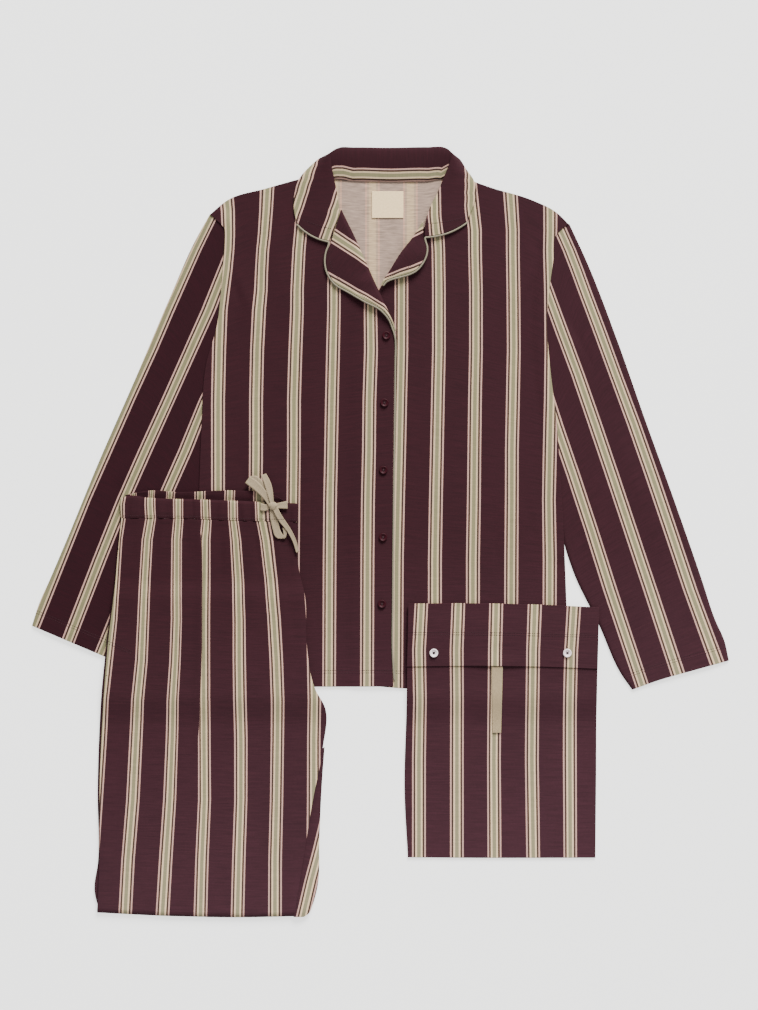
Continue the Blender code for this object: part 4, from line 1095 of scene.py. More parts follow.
SLEEVE_CREASES = (
    Fold(-246.0, 290.0, -276.0, 240.0, 7.0, -0.7),
    Fold(-330.0, 150.0, -352.0, 96.0, 8.0, -0.4),
    Fold(-392.0, 30.0, -412.0, -30.0, 8.0, 0.5),
    Fold(252.0, 290.0, 284.0, 228.0, 7.0, -0.7),
    Fold(338.0, 120.0, 360.0, 60.0, 8.0, -0.4),
    Fold(392.0, 0.0, 412.0, -60.0, 8.0, 0.5),
)
print("creases:", len(SHIRT_CREASES) + len(LEG_CREASES) + len(SLEEVE_CREASES))

# %% [markdown]
# ## Heights of the stack
# The trousers and the pouch lie on the shirt and, below its hem, come down to the floor. The
# fronts lie on the back, climb over the sleeves' tucked edges, and lap over each other at
# the buttons. These functions give the underside of each, the same as in the solids. Each
# change of height is a smooth step between two named places, and a cover's steps say where
# its inner side, its outer side and its top press the shirt flat.

# %% Height functions
Cover = namedtuple("Cover", "inner outer top")
TROUSERS_COVER = Cover((-84.0, -108.0), (-382.0, -350.0), (76.0, 60.0))
POUCH_COVER = Cover((18.0, 34.0), (316.0, 300.0), (-76.0, -92.0))
SIDES = {"over": SIDE_LEFT, "under": SIDE_RIGHT}
TUCK_REACH = (9.0, 24.0)
TUCK_FOOT = (-48.0, -24.0)
SWELL_SIDE = (8.0, 30.0)
SWELL_HEM = (-205.0, -180.0)
NECK_MIDDLE = Spot(12.0, 440.0)
SWELL_NECK = (125.0, 160.0)
SWELL_CHEST = (300.0, 270.0)
LAP_SIDE = (-50.0, -28.0)
LAP_TOP = (354.0, 336.0)


def stack_rest(y):
    """Underside of the pieces that lie on the shirt and, below its hem, beside it."""
    return STACK_REST * (1.0 - ramp(y, *STACK_FALL))


def free_of_stack(x, y):
    """1 where nothing lies on the shirt, 0 under the trousers and the pouch."""
    free = 1.0
    for cover in (TROUSERS_COVER, POUCH_COVER):
        free = free * (1.0 - ramp(x, *cover.inner) * ramp(x, *cover.outer) * ramp(y, *cover.top))
    return free


def front_rest(side, x, y):
    """Underside of a front: over the back, the tucked sleeve and, at the lap, the other."""
    near = distance_to(SIDES[side], x, y)
    tucked = (1.0 - ramp(near, *TUCK_REACH)) * ramp(y, *TUCK_FOOT)
    rest = FRONT_REST + SIDE_LIFT * tucked
    clear = ramp(near, *SWELL_SIDE) * ramp(y, *SWELL_HEM) * free_of_stack(x, y)
    from_neck = np.hypot(x - NECK_MIDDLE.x, y - NECK_MIDDLE.y)
    clear *= ramp(from_neck, *SWELL_NECK) + ramp(y, *SWELL_CHEST)
    rest = rest + swell(SHIRT_FOLDS, x, y) * np.clip(clear, 0.0, 1.0)
    if side == "over":
        rest = rest + LAP_LIFT * ramp(x, *LAP_SIDE) * ramp(y, *LAP_TOP)
    return rest


def leg_height(y):
    """Thickness of the hidden layers under the visible leg."""
    return LEG_TOP + (LEG_KNEE - LEG_TOP) * ramp(y, *LEG_HEM)


print("underside of the trousers on the shirt:", STACK_REST, "mm")

# %% [markdown]
# ## The back of the shirt
# The back is one panel. Almost all of it is hidden, but inside the neck its wrong side
# shows, heather grey with faint stripes. So its upper face has the wrong side's finish and
# its underside has the print. It stops short of the tucked sleeves at both sides. The label
# is sewn to it below the neck seam, is a little wavy, and is left bare.

# %% Back and neck label
BACK_FOOT = ((0.0, -208.0),)
BACK_CELL = 6.0
BACK_GROUP = -10.8
BACK_REPEAT = 51.3
LABEL_CELL = 1.5
LABEL_RIM = 0.4
LABEL_WALL = 0.7
LABEL_RIPPLE = 0.12
LABEL_WAVE = 6.0


def make_back():
    left = [(x + BACK_INSET, y) for x, y in SIDE_LEFT[:-2]] + [BACK_TIP_LEFT]
    right = [(x - BACK_INSET, y) for x, y in SIDE_RIGHT[:-2]] + [BACK_TIP_RIGHT]
    plan = patch_plan(Patch(left, right, BACK_FOOT, BACK_NECK), BACK_CELL)
    points = np.dstack((plan, np.full(plan.shape[:2], WALL / 2.0)))
    across = (plan[..., 0] - BACK_GROUP) / BACK_REPEAT * REPEAT
    back = cloth("cloth_back", points, grain_along(plan, across), WRONG_SIDE, JERSEY)
    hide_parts("shirt_back")
    min(0.349, flat_area(plan))
    return back


def make_label():
    plan = patch_plan(LABEL_EDGES, LABEL_CELL, LABEL_RIM)
    height = WALL + GAP + WALL / 2.0 + LABEL_RIPPLE * np.sin(plan[..., 0] / LABEL_WAVE)
    points = np.dstack((plan, height))
    label = cloth("label", points, plan, LABEL, wall=LABEL_WALL)
    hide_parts("neck_label")
    return label


back = make_back()
label = make_label()
print("back:", len(back.data.polygons), "cells; label:", len(label.data.polygons))

# %% [markdown]
# ## The two fronts
# The left front as it lies is the upper one: it laps over the other and holds the
# buttonholes. Both are the same sheet with different edges and stripe tables. At the hem the
# cloth is turned up 20 mm, so the hem stands a little higher and ends in a step at its seam.
# The creases die away beside the side seams, under what lies on the front, and at the neck.

# %% Fronts
HEM_DEPTH = 20.0
HEM_HEIGHT = 0.3
HEM_STEP = (HEM_DEPTH - 0.5, HEM_DEPTH + 2.5)
GROOVE_WIDTH = 1.6
GROOVE_DEPTH = 0.28
CREASE_SIDE = (6.0, 20.0)
CREASE_NECK = (120.0, 150.0)
CREASE_MIDDLE = Spot(8.0, 440.0)


def plan_axes(plan):
    """The x and the y of a plan's points."""
    return plan[..., 0], plan[..., 1]


def turned_hem(edge, x, y):
    """Extra height of a turned hem, with a groove where it is sewn."""
    off = distance_to(edge, x, y)
    groove = np.exp(-((off - HEM_DEPTH) / GROOVE_WIDTH) ** 2)
    return HEM_HEIGHT * (1.0 - ramp(off, *HEM_STEP)) - GROOVE_DEPTH * groove


def make_front(name, patch, side, table, node):
    plan = patch_plan(patch)
    x, y = plan_axes(plan)
    from_neck = np.hypot(x - CREASE_MIDDLE.x, y - CREASE_MIDDLE.y)
    free = ramp(distance_to(SIDES[side], x, y), *CREASE_SIDE) * free_of_stack(x, y)
    free = free * ramp(from_neck, *CREASE_NECK)
    height = front_rest(side, x, y) + WALL / 2.0 + turned_hem(foot_of(patch), x, y)
    height = height + swell(SHIRT_CREASES, x, y) * free
    across = stripes_across(x, y, table)
    front = cloth(name, np.dstack((plan, height)), grain_along(plan, across), JERSEY, WRONG_SIDE)
    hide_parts(node)
    flat_area(plan)
    return front


front_over = make_front("cloth_front_over", FRONT_OVER, "over", FRONT_OVER_STRIPES,
                        "shirt_front_over")
front_under = make_front("cloth_front_under", FRONT_UNDER, "under", FRONT_UNDER_STRIPES,
                         "shirt_front_under")
print("fronts:", len(front_over.data.polygons), "and", len(front_under.data.polygons), "cells")

# %% [markdown]
# ## The sleeves
# A sleeve that lies flat is a tube with two soft folds at its sides. It starts as one grid
# that goes over the top and back along the underside, with its two long edges joined where
# they meet. The wall goes inwards, so that at the cuff you look into a sleeve with a lining
# of its own wrong side. The armhole end is tucked under the front, so the sleeve is lowest
# there and along the side that the front lies on.

# %% Sleeves
SLEEVE_RIM = 0.5
SLEEVE_CROWN = (12.0, 60.0)
SLEEVE_SHOULDER = (0.0, 30.0)
SLEEVE_SOFT = (12.0, 40.0)
SLEEVE_SOFT_EDGE = (0.0, 16.0)
SLEEVE_ROUND = 1.7
CUFF_ENDS = (0.0, 4.0)


def sleeve_height(x, y, armhole, covered, off_edges):
    """Height of the lying sleeve at plan points."""
    inside = np.minimum(distance_to(covered, x, y), distance_to(armhole, x, y))
    rise = SLEEVE_RISE * ramp(inside, *SLEEVE_CROWN) * ramp(off_edges, *SLEEVE_SHOULDER)
    free = ramp(inside, *SLEEVE_SOFT) * ramp(off_edges, *SLEEVE_SOFT_EDGE) * free_of_stack(x, y)
    soft = swell(SLEEVE_FOLDS, x, y) + swell(SLEEVE_CREASES, x, y)
    return SLEEVE_EDGE + rise + soft * free


def make_sleeve(name, patch, covered, table, node, finish):
    plan = patch_plan(patch, CELL, SLEEVE_RIM)
    x, y = plan_axes(plan)
    start = np.linalg.norm(plan - plan[:, :1], axis=2)
    end = np.linalg.norm(plan - plan[:, -1:], axis=2)
    off = np.minimum(start, end)
    height = sleeve_height(x, y, foot_of(patch), covered, off)
    edge = np.clip(off / SLEEVE_ROUND, 0.0, 1.0)
    share = 0.5 + 0.5 * np.sqrt(1.0 - (1.0 - edge) ** 2)
    hem = turned_hem(head_of(patch), x, y) * ramp(off, *CUFF_ENDS)
    top = np.dstack((plan, height * share + hem))
    low = np.dstack((plan, height * (1.0 - share)))
    ring = np.concatenate((top, low[:, -2:0:-1], top[:, :1]), axis=1)
    across = stripes_across(x, y, table)
    grain = grain_along(plan, across)
    under = grain.copy()
    under[..., 0] = -under[..., 0]
    around = np.concatenate((grain, under[:, -2:0:-1], grain[:, :1]), axis=1)
    bm = grid_of(ring, around, closed=True)
    sleeve = keep(bm, name, finish, WRONG_SIDE)
    thick = sleeve.modifiers.new("wall", "SOLIDIFY")
    thick.thickness = CLOTH * MM
    thick.offset = -1.0
    thick.material_offset = 1
    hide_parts(node)
    area = 2.0 * flat_area(plan)
    return sleeve


# The first sleeve gets the jersey with painted shade.
sleeve_left = make_sleeve("cloth_sleeve_left", SLEEVE_LEFT, SLEEVE_LEFT.right,
                          SLEEVE_LEFT_STRIPES, "sleeve_left", SLEEVE_JERSEY_PAINTED_SHADE)
sleeve_right = make_sleeve("cloth_sleeve_right", SLEEVE_RIGHT, SLEEVE_RIGHT.left,
                           SLEEVE_RIGHT_STRIPES, "sleeve_right", JERSEY)
print("sleeves:", len(sleeve_left.data.polygons), "and", len(sleeve_right.data.polygons), "cells")

# %% [markdown]
# ## The collar
# The collar is a band that stands up from the neck seam, rolls over, and falls on the
# shoulders. Each row of its table is one cut through it: the fall's outer edge, the roll at
# the top, and the seam. Two quadratic curves join the three, so the cloth has a soft roll and
# no crease. Its print runs round the neck. A second table says, for each section, which part
# of the print lies at the fall's edge and at the roll; from the roll the print runs on down to
# the seam. The lower ends of the two leaves stand a little proud, each by its own loft.

# %% Collar sections
Neck = namedtuple("Neck", "fall_x fall_y fall_z crest_fall roll_x roll_y roll_z "
                          "crest_seam seam_x seam_y seam_z spread bow")
COLLAR = (
    Neck(-112.0, 417.5, 3.9, 4.6, -69.5, 394.0, 3.9, 3.9, -70.5, 394.5, 3.4, 0.00, -4.0),
    Neck(-115.0, 425.5, 3.9, 5.8, -64.0, 407.0, 4.4, 3.6, -68.0, 409.0, 3.4, 0.00, -2.0),
    Neck(-117.2, 441.0, 3.9, 7.8, -56.5, 434.0, 5.0, 3.4, -67.0, 438.0, 3.4, 0.00, 0.0),
    Neck(-116.0, 458.0, 3.9, 8.6, -59.0, 458.0, 5.4, 3.4, -72.0, 460.0, 3.4, 0.00, 0.0),
    Neck(-110.0, 477.0, 3.9, 9.8, -63.0, 478.0, 6.4, 3.4, -74.0, 474.0, 3.4, 0.08, 0.0),
    Neck(-95.0, 494.5, 2.2, 11.5, -66.5, 497.0, 8.6, 6.4, -72.0, 480.0, 3.4, 0.25, 0.0),
    Neck(-76.0, 508.0, 0.8, 11.5, -66.0, 512.5, 9.4, 9.6, -64.0, 477.5, 2.1, 0.30, 0.0),
    Neck(-58.0, 502.0, 0.6, 3.5, -55.0, 519.0, 7.4, 11.0, -54.0, 476.5, 2.1, 0.10, 0.0),
    Neck(-36.0, 490.0, 0.6, 0.6, -36.0, 519.5, 5.4, 11.0, -37.0, 475.0, 2.1, 0.00, 0.0),
    Neck(13.5, 490.0, 0.6, 0.6, 13.5, 519.0, 5.4, 11.0, 13.5, 474.0, 2.1, 0.00, 0.0),
    Neck(63.0, 490.0, 0.6, 0.6, 63.0, 519.8, 5.4, 11.0, 63.0, 474.5, 2.1, 0.00, 0.0),
    Neck(88.0, 502.0, 0.6, 3.5, 86.0, 519.2, 7.4, 11.0, 81.0, 477.5, 2.1, 0.10, 0.0),
    Neck(103.0, 507.0, 0.8, 11.5, 94.5, 513.0, 9.4, 9.6, 92.0, 478.5, 2.1, 0.30, 0.0),
    Neck(116.5, 489.5, 2.2, 11.5, 92.5, 496.0, 8.6, 6.4, 101.0, 479.0, 3.4, 0.25, 0.0),
    Neck(126.5, 474.5, 3.9, 9.8, 85.0, 477.0, 6.4, 3.4, 99.0, 471.0, 3.4, 0.08, 0.0),
    Neck(130.0, 458.0, 3.9, 8.6, 78.0, 460.0, 5.4, 3.4, 92.0, 458.0, 3.4, 0.00, 0.0),
    Neck(125.5, 441.0, 3.9, 7.8, 67.5, 439.0, 5.0, 3.4, 79.0, 440.0, 3.4, 0.00, 0.0),
    Neck(120.0, 427.0, 3.9, 5.8, 60.5, 415.0, 4.4, 3.6, 66.0, 416.0, 3.4, 0.00, 2.5),
    Neck(117.0, 420.5, 3.9, 4.6, 59.8, 400.0, 3.9, 3.9, 61.0, 400.5, 3.4, 0.00, 5.0),
)
COLLAR_PRINT = (
    (7.7, 55.4), (2.4, 56.6), (-4.6, 55.2), (-8.8, 45.4), (-9.0, 35.3), (-0.3, 26.0),
    (13.6, 22.5), (-4.0, 17.2), (-12.0, 13.0), (-12.0, 12.6), (-12.0, 12.6), (-4.0, 14.0),
    (18.5, 26.2), (5.7, 30.5), (-3.8, 37.6), (-8.0, 45.3), (-3.3, 56.5), (3.8, 64.4),
    (7.8, 65.7),
)
COLLAR_ROWS = 210
COLLAR_END_ROW = 0.0011
COLLAR_RIM = 0.015
FALL_CELLS = 22
STAND_CELLS = 20
LEAF_TOP = (425.0, 447.0)
CREST_LOFT = 0.7
print("collar:", len(COLLAR), "sections")


# %% Collar cloth
def lofted(row):
    """Fall, roll and seam of a collar section, and the crests of the curves between them."""
    low = 1.0 - ramp(row.fall_y, *LEAF_TOP)
    loft = low * LEAF_LOFT[int(row.fall_x > 0.0)]
    fall = np.array((row.fall_x, row.fall_y, row.fall_z + low * RIM_LOFT))
    roll = np.array((row.roll_x, row.roll_y, row.roll_z + loft))
    seam = np.array((row.seam_x, row.seam_y, row.seam_z))
    lean_fall = roll + (fall - roll) * row.spread
    lean_fall[2] = row.crest_fall + CREST_LOFT * loft
    lean_seam = roll + (seam - roll) * row.spread
    lean_seam[2] = row.crest_seam
    return fall, lean_fall, roll, lean_seam, seam


def collar_points(rows):
    """Middle surface and print of the collar, a row for each section."""
    rows_at = shares(rows, (COLLAR_END_ROW,))
    knots = knots_of(np.array(COLLAR, dtype=float))
    prints = np.array([np.interp(rows_at * knots[-1], knots, column)
                       for column in np.array(COLLAR_PRINT).T]).T
    grid = []
    grain = []
    for section, (at_fall, at_roll) in zip(smooth_rows(COLLAR, rows_at), prints):
        row = Neck(*section)
        fall, lean_fall, roll, lean_seam, seam = lofted(row)
        side = np.array((roll[1] - fall[1], fall[0] - roll[0], 0.0))
        side *= -row.bow / np.linalg.norm(side[:2])
        line = []
        for t in shares(FALL_CELLS, (COLLAR_RIM,)):
            point = (1 - t)**2 * fall + 2 * t * (1 - t) * lean_fall + t * t * roll
            near = t * (2.0 - t)
            line.append(point + side * 4.0 * near * (1.0 - near))
        for t in shares(STAND_CELLS)[1:]:
            line.append((1 - t)**2 * roll + 2 * t * (1 - t) * lean_seam + t * t * seam)
        grid.append(line)
        length = knots_of(np.array(line))
        fall_length = length[-STAND_CELLS - 1]
        on_fall = at_fall + (at_roll - at_fall) * length / fall_length
        grain.append(np.where(length < fall_length, on_fall, at_roll + length - fall_length))
    return np.array(grid), np.array(grain)


def make_collar():
    points, across = collar_points(COLLAR_ROWS)
    along = knots_of(points[:, FALL_CELLS // 2, :2])
    grain = np.dstack((across, np.broadcast_to(along[:, None], across.shape)))
    collar = cloth("cloth_collar", points, grain, JERSEY)
    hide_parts("collar")
    return collar, points


collar, collar_middle = make_collar()
print("collar:", len(collar.data.polygons), "cells")

# %% [markdown]
# ## The lapels and the piping
# Below the collar the facing of each front turns out into a lapel. A lapel is highest a
# little inside its roll and turns down sharply at it. The piping is a cord in sage jersey,
# sewn into the edge of each collar leaf and of the lapel below it, and on the upper front it
# goes on down the placket to the hem. It is a thin tube along that edge, made from one grid
# that is joined round. The loft stands a lapel off its front: the left one mostly near its
# tip, the right one most at its tip and least at its top.

# %% Lapels
LAPEL_CELL = 2.2
LAPEL_RIM = 0.5
LAPEL_CREST = 2.2
LAPEL_ARCH = 0.62
LAPEL_WIDTH = (4.0, 22.0)
LAPEL_CLEAR = 0.25
LAPEL_LEAST = 0.1
ROLL_REACH = 3.2
ROLL_DROP = 0.9
LEFT_TIP = (276.0, 300.0)
LEFT_TOP = (309.0, 330.0)
LEFT_TOP_LOSS = 0.72
RIGHT_TIP = (32.0, 16.0)
RIGHT_TIP_GAIN = 0.3
RIGHT_TOP = (372.0, 396.0)
RIGHT_TOP_LOSS = 0.4


def lapel_loft(side, x, y):
    """How far a lapel stands off its front, beyond the solid."""
    if side == "over":
        return LAPEL_LOFT * ramp(y, *LEFT_TIP) * (1.0 - LEFT_TOP_LOSS * ramp(y, *LEFT_TOP))
    gain = RIGHT_TIP_GAIN * ramp(x, *RIGHT_TIP)
    return LAPEL_LOFT * (1.0 + gain - RIGHT_TOP_LOSS * ramp(y, *RIGHT_TOP))


def lapel_points(patch, side):
    """Middle surface of a lapel: on its front, lifted towards the roll and turned down."""
    plan = patch_plan(patch, LAPEL_CELL, LAPEL_RIM)
    x, y = plan_axes(plan)
    outer, roll = (patch.left, patch.right) if side == "over" else (patch.right, patch.left)
    from_outer = distance_to(outer, x, y)
    from_roll = distance_to(roll, x, y)
    width = from_outer + from_roll
    share = np.clip(from_outer / np.maximum(width, LAPEL_LEAST), 0.0, 1.0)
    lift = LAPEL_CREST * np.sin(math.pi * share * LAPEL_ARCH) * ramp(width, *LAPEL_WIDTH)
    flat = front_rest(side, x, y) + WALL + GAP + WALL / 2.0 + PIPED_RISE
    flat = flat + lapel_loft(side, x, y)
    turn = 1.0 - ramp(from_roll, 0.0, ROLL_REACH)
    height = (1.0 - turn) * (flat + lift + LAPEL_CLEAR) + turn * (flat - ROLL_DROP)
    return plan, np.dstack((plan, height))


def make_lapel(name, patch, side, table, node):
    plan, points = lapel_points(patch, side)
    across = stripes_across(-plan[..., 1], plan[..., 0], table)
    lapel = cloth(name, points, grain_along(plan, across), JERSEY)
    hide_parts(node)
    flat_area(plan)
    return points


left_lapel = make_lapel("cloth_lapel_left", LAPEL_LEFT, "over", LAPEL_LEFT_STRIPES,
                        "facing_left")
right_lapel = make_lapel("cloth_lapel_right", LAPEL_RIGHT, "under", LAPEL_RIGHT_STRIPES,
                         "facing_right")
print("lapels:", left_lapel.shape[:2], "and", right_lapel.shape[:2], "points")


# %% Piping
PIPING_OFF = PIPING_WIDTH / 2.0 + PIPING_GAP
PIPING_RADIUS = PIPING_WIDTH / 2.0 + 0.1
PIPING_SIDES = 10
PIPING_END = 0.55
PLACKET_STEPS = 90
PLACKET_SPAN = (-206.5, 253.0)
LAPEL_SKIP = 4
STEP_SHARE = 0.7
SHORT_STEPS = 150
LONG_STEPS = 420


def beside(edge, inward):
    """Middle of the piping just outside an edge; inward holds the next points from it."""
    run = np.gradient(edge, axis=0)
    away = np.column_stack((run[:, 1], -run[:, 0], np.zeros(len(run))))
    away /= np.linalg.norm(away, axis=1, keepdims=True)
    outward = np.sign(np.sum(away * (edge - inward)))
    return edge + away * outward * PIPING_OFF


def placket_line():
    """Middle of the piping from the lapel's tip, over the edge and down it to the hem."""
    edge = smooth_rows(PLACKET_EDGE, shares(PLACKET_STEPS))
    low, high = PLACKET_SPAN
    edge = edge[(edge[:, 1] < high) & (edge[:, 1] > low)][::-1]
    x = edge[:, 0] + PIPING_OFF
    z = front_rest("under", x, edge[:, 1]) + WALL + GAP + PIPING_WIDTH / 2.0
    step = (PLACKET_TURN.x, PLACKET_TURN.y, z[0] + LAP_LIFT * STEP_SHARE)
    return np.concatenate(([step], np.column_stack((x, edge[:, 1], z))))


def tube_along(name, line, radius, finish):
    """Closed round tube along a line of points in millimetres, smaller at its ends."""
    run = np.gradient(line, axis=0)
    run /= np.linalg.norm(run, axis=1, keepdims=True)
    side = np.cross(run, (0.0, 0.0, 1.0))
    side /= np.linalg.norm(side, axis=1, keepdims=True)
    up = np.cross(side, run)
    turns = np.linspace(0.0, math.tau, PIPING_SIDES + 1)
    wide = np.full((len(line), 1, 1), radius)
    wide[[0, -1]] *= PIPING_END
    rings = (line[:, None] + side[:, None] * (np.cos(turns)[None, :, None] * wide)
             + up[:, None] * (np.sin(turns)[None, :, None] * wide))
    along = np.broadcast_to(knots_of(line)[:, None], rings.shape[:2])
    girth = np.broadcast_to((turns * radius)[None, :], rings.shape[:2])
    bm = grid_of(rings, np.dstack((girth, along)), closed=True)
    open_edges = [edge for edge in bm.edges if edge.is_boundary]
    bmesh.ops.holes_fill(bm, edges=open_edges)
    bmesh.ops.recalc_face_normals(bm, faces=bm.faces)
    return keep(bm, name, finish)


def make_piping(name, leaf, leaf_inward, lapel, lapel_inward, node, onward=None):
    round_lapel = beside(lapel, lapel_inward)[LAPEL_SKIP:]
    line = np.concatenate((beside(leaf, leaf_inward), round_lapel))[::2]
    if onward is not None:
        line = np.concatenate((line, onward))
    even = smooth_rows(line, shares(SHORT_STEPS if onward is None else LONG_STEPS))
    piping = tube_along(name, even, PIPING_RADIUS, PIPING)
    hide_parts(node)
    return piping


piping_left = make_piping("cord_piping_left", collar_middle[0, :FALL_CELLS],
                          collar_middle[3, :FALL_CELLS], left_lapel[:, 0], left_lapel[:, 2],
                          "piping_left", placket_line())
piping_right = make_piping("cord_piping_right", collar_middle[-1, :FALL_CELLS],
                           collar_middle[-4, :FALL_CELLS], right_lapel[:, -1],
                           right_lapel[:, -3], "piping_right")
print("piping:", len(piping_left.data.polygons) + len(piping_right.data.polygons), "faces")

# %% [markdown]
# ## The trousers
# The trousers are folded in half lengthwise, and their lower legs are folded under. What
# shows is one leg's front, a sliver of its back at the inseam, and the waistband. The hidden
# layers share one rounded form; grooves round its edge let the layers be seen from the side.
# A deep crease down the front hides a strip of cloth, and with it half of one stripe group.
# The leg's cloth is turned down at its folds, most of all at the knee.

# %% Hidden layers
LAYERS_CELL = 9.0
LAYERS_RIM = 0.9
ROUND_REACH = 9.0
LAYER_STEPS = (
    (0.94, 0.9), (0.84, 0.2), (0.76, 0.2), (0.70, 1.3), (0.64, 0.2), (0.50, 0.0),
    (0.40, 0.2), (0.34, 1.3), (0.28, 0.2), (0.14, 0.2), (0.0, 1.0),
)


def rim_distance(patch, x, y):
    """Plan distance to the nearest edge of a patch."""
    edges = (patch.left, patch.right, foot_of(patch), head_of(patch))
    return np.minimum.reduce([distance_to(edge, x, y) for edge in edges])


def outward_at(vert):
    """Level direction away from the cloth at a corner on its rim."""
    rim = [edge.other_vert(vert).co for edge in vert.link_edges if edge.is_boundary]
    run = rim[0] - rim[1]
    out = Vector((run.y, -run.x, 0.0)).normalized()
    inside = sum((face.calc_center_median() for face in vert.link_faces), Vector())
    inside = inside / len(vert.link_faces) - vert.co
    return -out if out.dot(inside) > 0.0 else out


def step_down(bm):
    """Walls from the rim of the top sheet down to the floor, in the steps of the layers."""
    number = bm.verts.layers.int.new("number")
    rim = []
    for place, vert in enumerate([vert for vert in bm.verts if vert.is_boundary]):
        vert[number] = place
        rim.append((vert.co.copy(), outward_at(vert), stack_rest(vert.co.y / MM) * MM))
    edges = [edge for edge in bm.edges if edge.is_boundary]
    for level, inset in LAYER_STEPS:
        made = bmesh.ops.extrude_edge_only(bm, edges=edges)["geom"]
        edges = [item for item in made if isinstance(item, bmesh.types.BMEdge)]
        for vert in (item for item in made if isinstance(item, bmesh.types.BMVert)):
            top, out, base = rim[vert[number]]
            vert.co = top - out * inset * MM
            vert.co.z = base + (top.z - base) * level


def make_hidden_layers():
    plan = patch_plan(LEG_UNDER, LAYERS_CELL, LAYERS_RIM)
    x, y = plan_axes(plan)
    low = stack_rest(y)
    rounded = 1.0 - ramp(rim_distance(LEG_UNDER, x, y), 0.0, ROUND_REACH)
    grain = grain_along(plan, stripes_across(x, y, LEG_STRIPES) + REPEAT / 2.0)
    bm = grid_of(np.dstack((plan, low + leg_height(y) - LEG_ROUND * rounded)), grain)
    step_down(bm)
    floor = grid_of(np.dstack((plan, low)), grain)
    for vert in floor.verts:
        if vert.is_boundary:
            vert.co -= outward_at(vert) * LAYER_STEPS[-1][1] * MM
    bmesh.ops.reverse_faces(floor, faces=floor.faces)
    under = bpy.data.meshes.new("under")
    floor.to_mesh(under)
    floor.free()
    bm.from_mesh(under)
    bmesh.ops.remove_doubles(bm, verts=bm.verts, dist=MERGE)
    bmesh.ops.recalc_face_normals(bm, faces=bm.faces)
    make_smooth(bm)
    layers = keep(bm, "cloth_hidden_layers", JERSEY)
    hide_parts("trousers_under")
    return layers


hidden_layers = make_hidden_layers()
print("hidden layers:", len(hidden_layers.data.polygons), "faces")


# %% The visible leg
Tuck = namedtuple("Tuck", "y x hidden")
TUCK_LINE = (
    Tuck(-292.0, -247.5, 0.0), Tuck(-286.0, -247.2, 1.0), Tuck(-273.0, -245.6, 3.2),
    Tuck(-253.0, -243.8, 5.0), Tuck(-212.0, -242.2, 7.0), Tuck(-152.0, -240.0, 8.8),
    Tuck(-64.0, -239.9, 8.4), Tuck(-24.0, -240.4, 7.4), Tuck(-8.0, -241.4, 5.5),
    Tuck(4.0, -243.5, 1.5), Tuck(10.0, -245.0, 0.0),
)
TUCK_SHARE = 0.466
TUCK_CELLS = (-0.012, -0.006, -0.0025, -0.0008, 0.0008, 0.0025, 0.006, 0.012)
TUCK_PULL = 0.16
DEEPEST = 8.8
ROLLED_HEIGHT = 1.5
ROLLED_RISE = (-0.4, 4.5)
ROLLED_FALL = (5.0, 26.0)
TROUGH_DEPTH = 0.45
TROUGH_REACH = 5.0
TROUGH_SIDE = (1.0, -0.5)
HIDDEN_START = (0.2, -0.5)
HIDDEN_END = (-26.0, -8.0)
LEG_CELL = 3.6
LEG_COLUMNS = 66
LEG_RIM_SHARE = 0.003
FOLD_LEFT = (4.0, 30.0)
FOLD_RIGHT = (4.0, 26.0)
FOLD_KNEE = (10.0, 40.0)
FOLD_WAIST = (0.0, 8.0)
CREASE_SIDES = (2.0, 14.0)
INSEAM_FOLD = (-300.0, -270.0)
STRIP_CELL = 2.4
STRIP_RIM = 0.4
STRIP_DIP = 1.1
STRIP_DIP_REACH = (0.5, 5.0)


def round_down(off, depth, reach, power=1.0):
    """Drop of a cloth that turns down at an edge, from the distances to that edge."""
    return depth * (1.0 - ramp(off, 0.0, reach)) ** power


def leg_crown(plan):
    """Middle height of a cloth that lies on the hidden layers of the trousers."""
    y = plan[..., 1]
    return stack_rest(y) + leg_height(y) + LEG_GAP + WALL / 2.0


def leg_surface(plan):
    """Middle surface of the visible leg, a little full at the waist, turned down at its folds."""
    x, y = plan_axes(plan)
    left = distance_to(LEG_FRONT.left, x, y)
    right = distance_to(LEG_FRONT.right, x, y)
    waist = distance_to(foot_of(LEG_FRONT), x, y)
    knee = distance_to(head_of(LEG_FRONT), x, y)
    inside = ramp(left, *FOLD_LEFT) * ramp(right, *FOLD_RIGHT) * ramp(knee, *FOLD_KNEE)
    crown = leg_crown(plan) + swell(LEG_FOLDS, x, y) * inside * ramp(waist, *FOLD_WAIST)
    crown += round_down(waist, depth=0.45, reach=12.0)
    crown -= round_down(left, depth=0.6, reach=5.0)
    crown -= round_down(right, depth=1.2, reach=5.0) * ramp(y, *INSEAM_FOLD)
    crown -= round_down(knee, depth=3.2, reach=2.6, power=1.5)
    crown += swell(LEG_CREASES, x, y) * ramp(left, *CREASE_SIDES) * ramp(right, *CREASE_SIDES)
    return np.dstack((plan, crown))


def at_tuck(y):
    """Place of the deep crease at the given heights, and how much cloth it hides."""
    line = np.array(TUCK_LINE)
    return (np.interp(y, line[:, 0], line[:, 1]),
            np.interp(y, line[:, 0], line[:, 2], left=0.0, right=0.0))


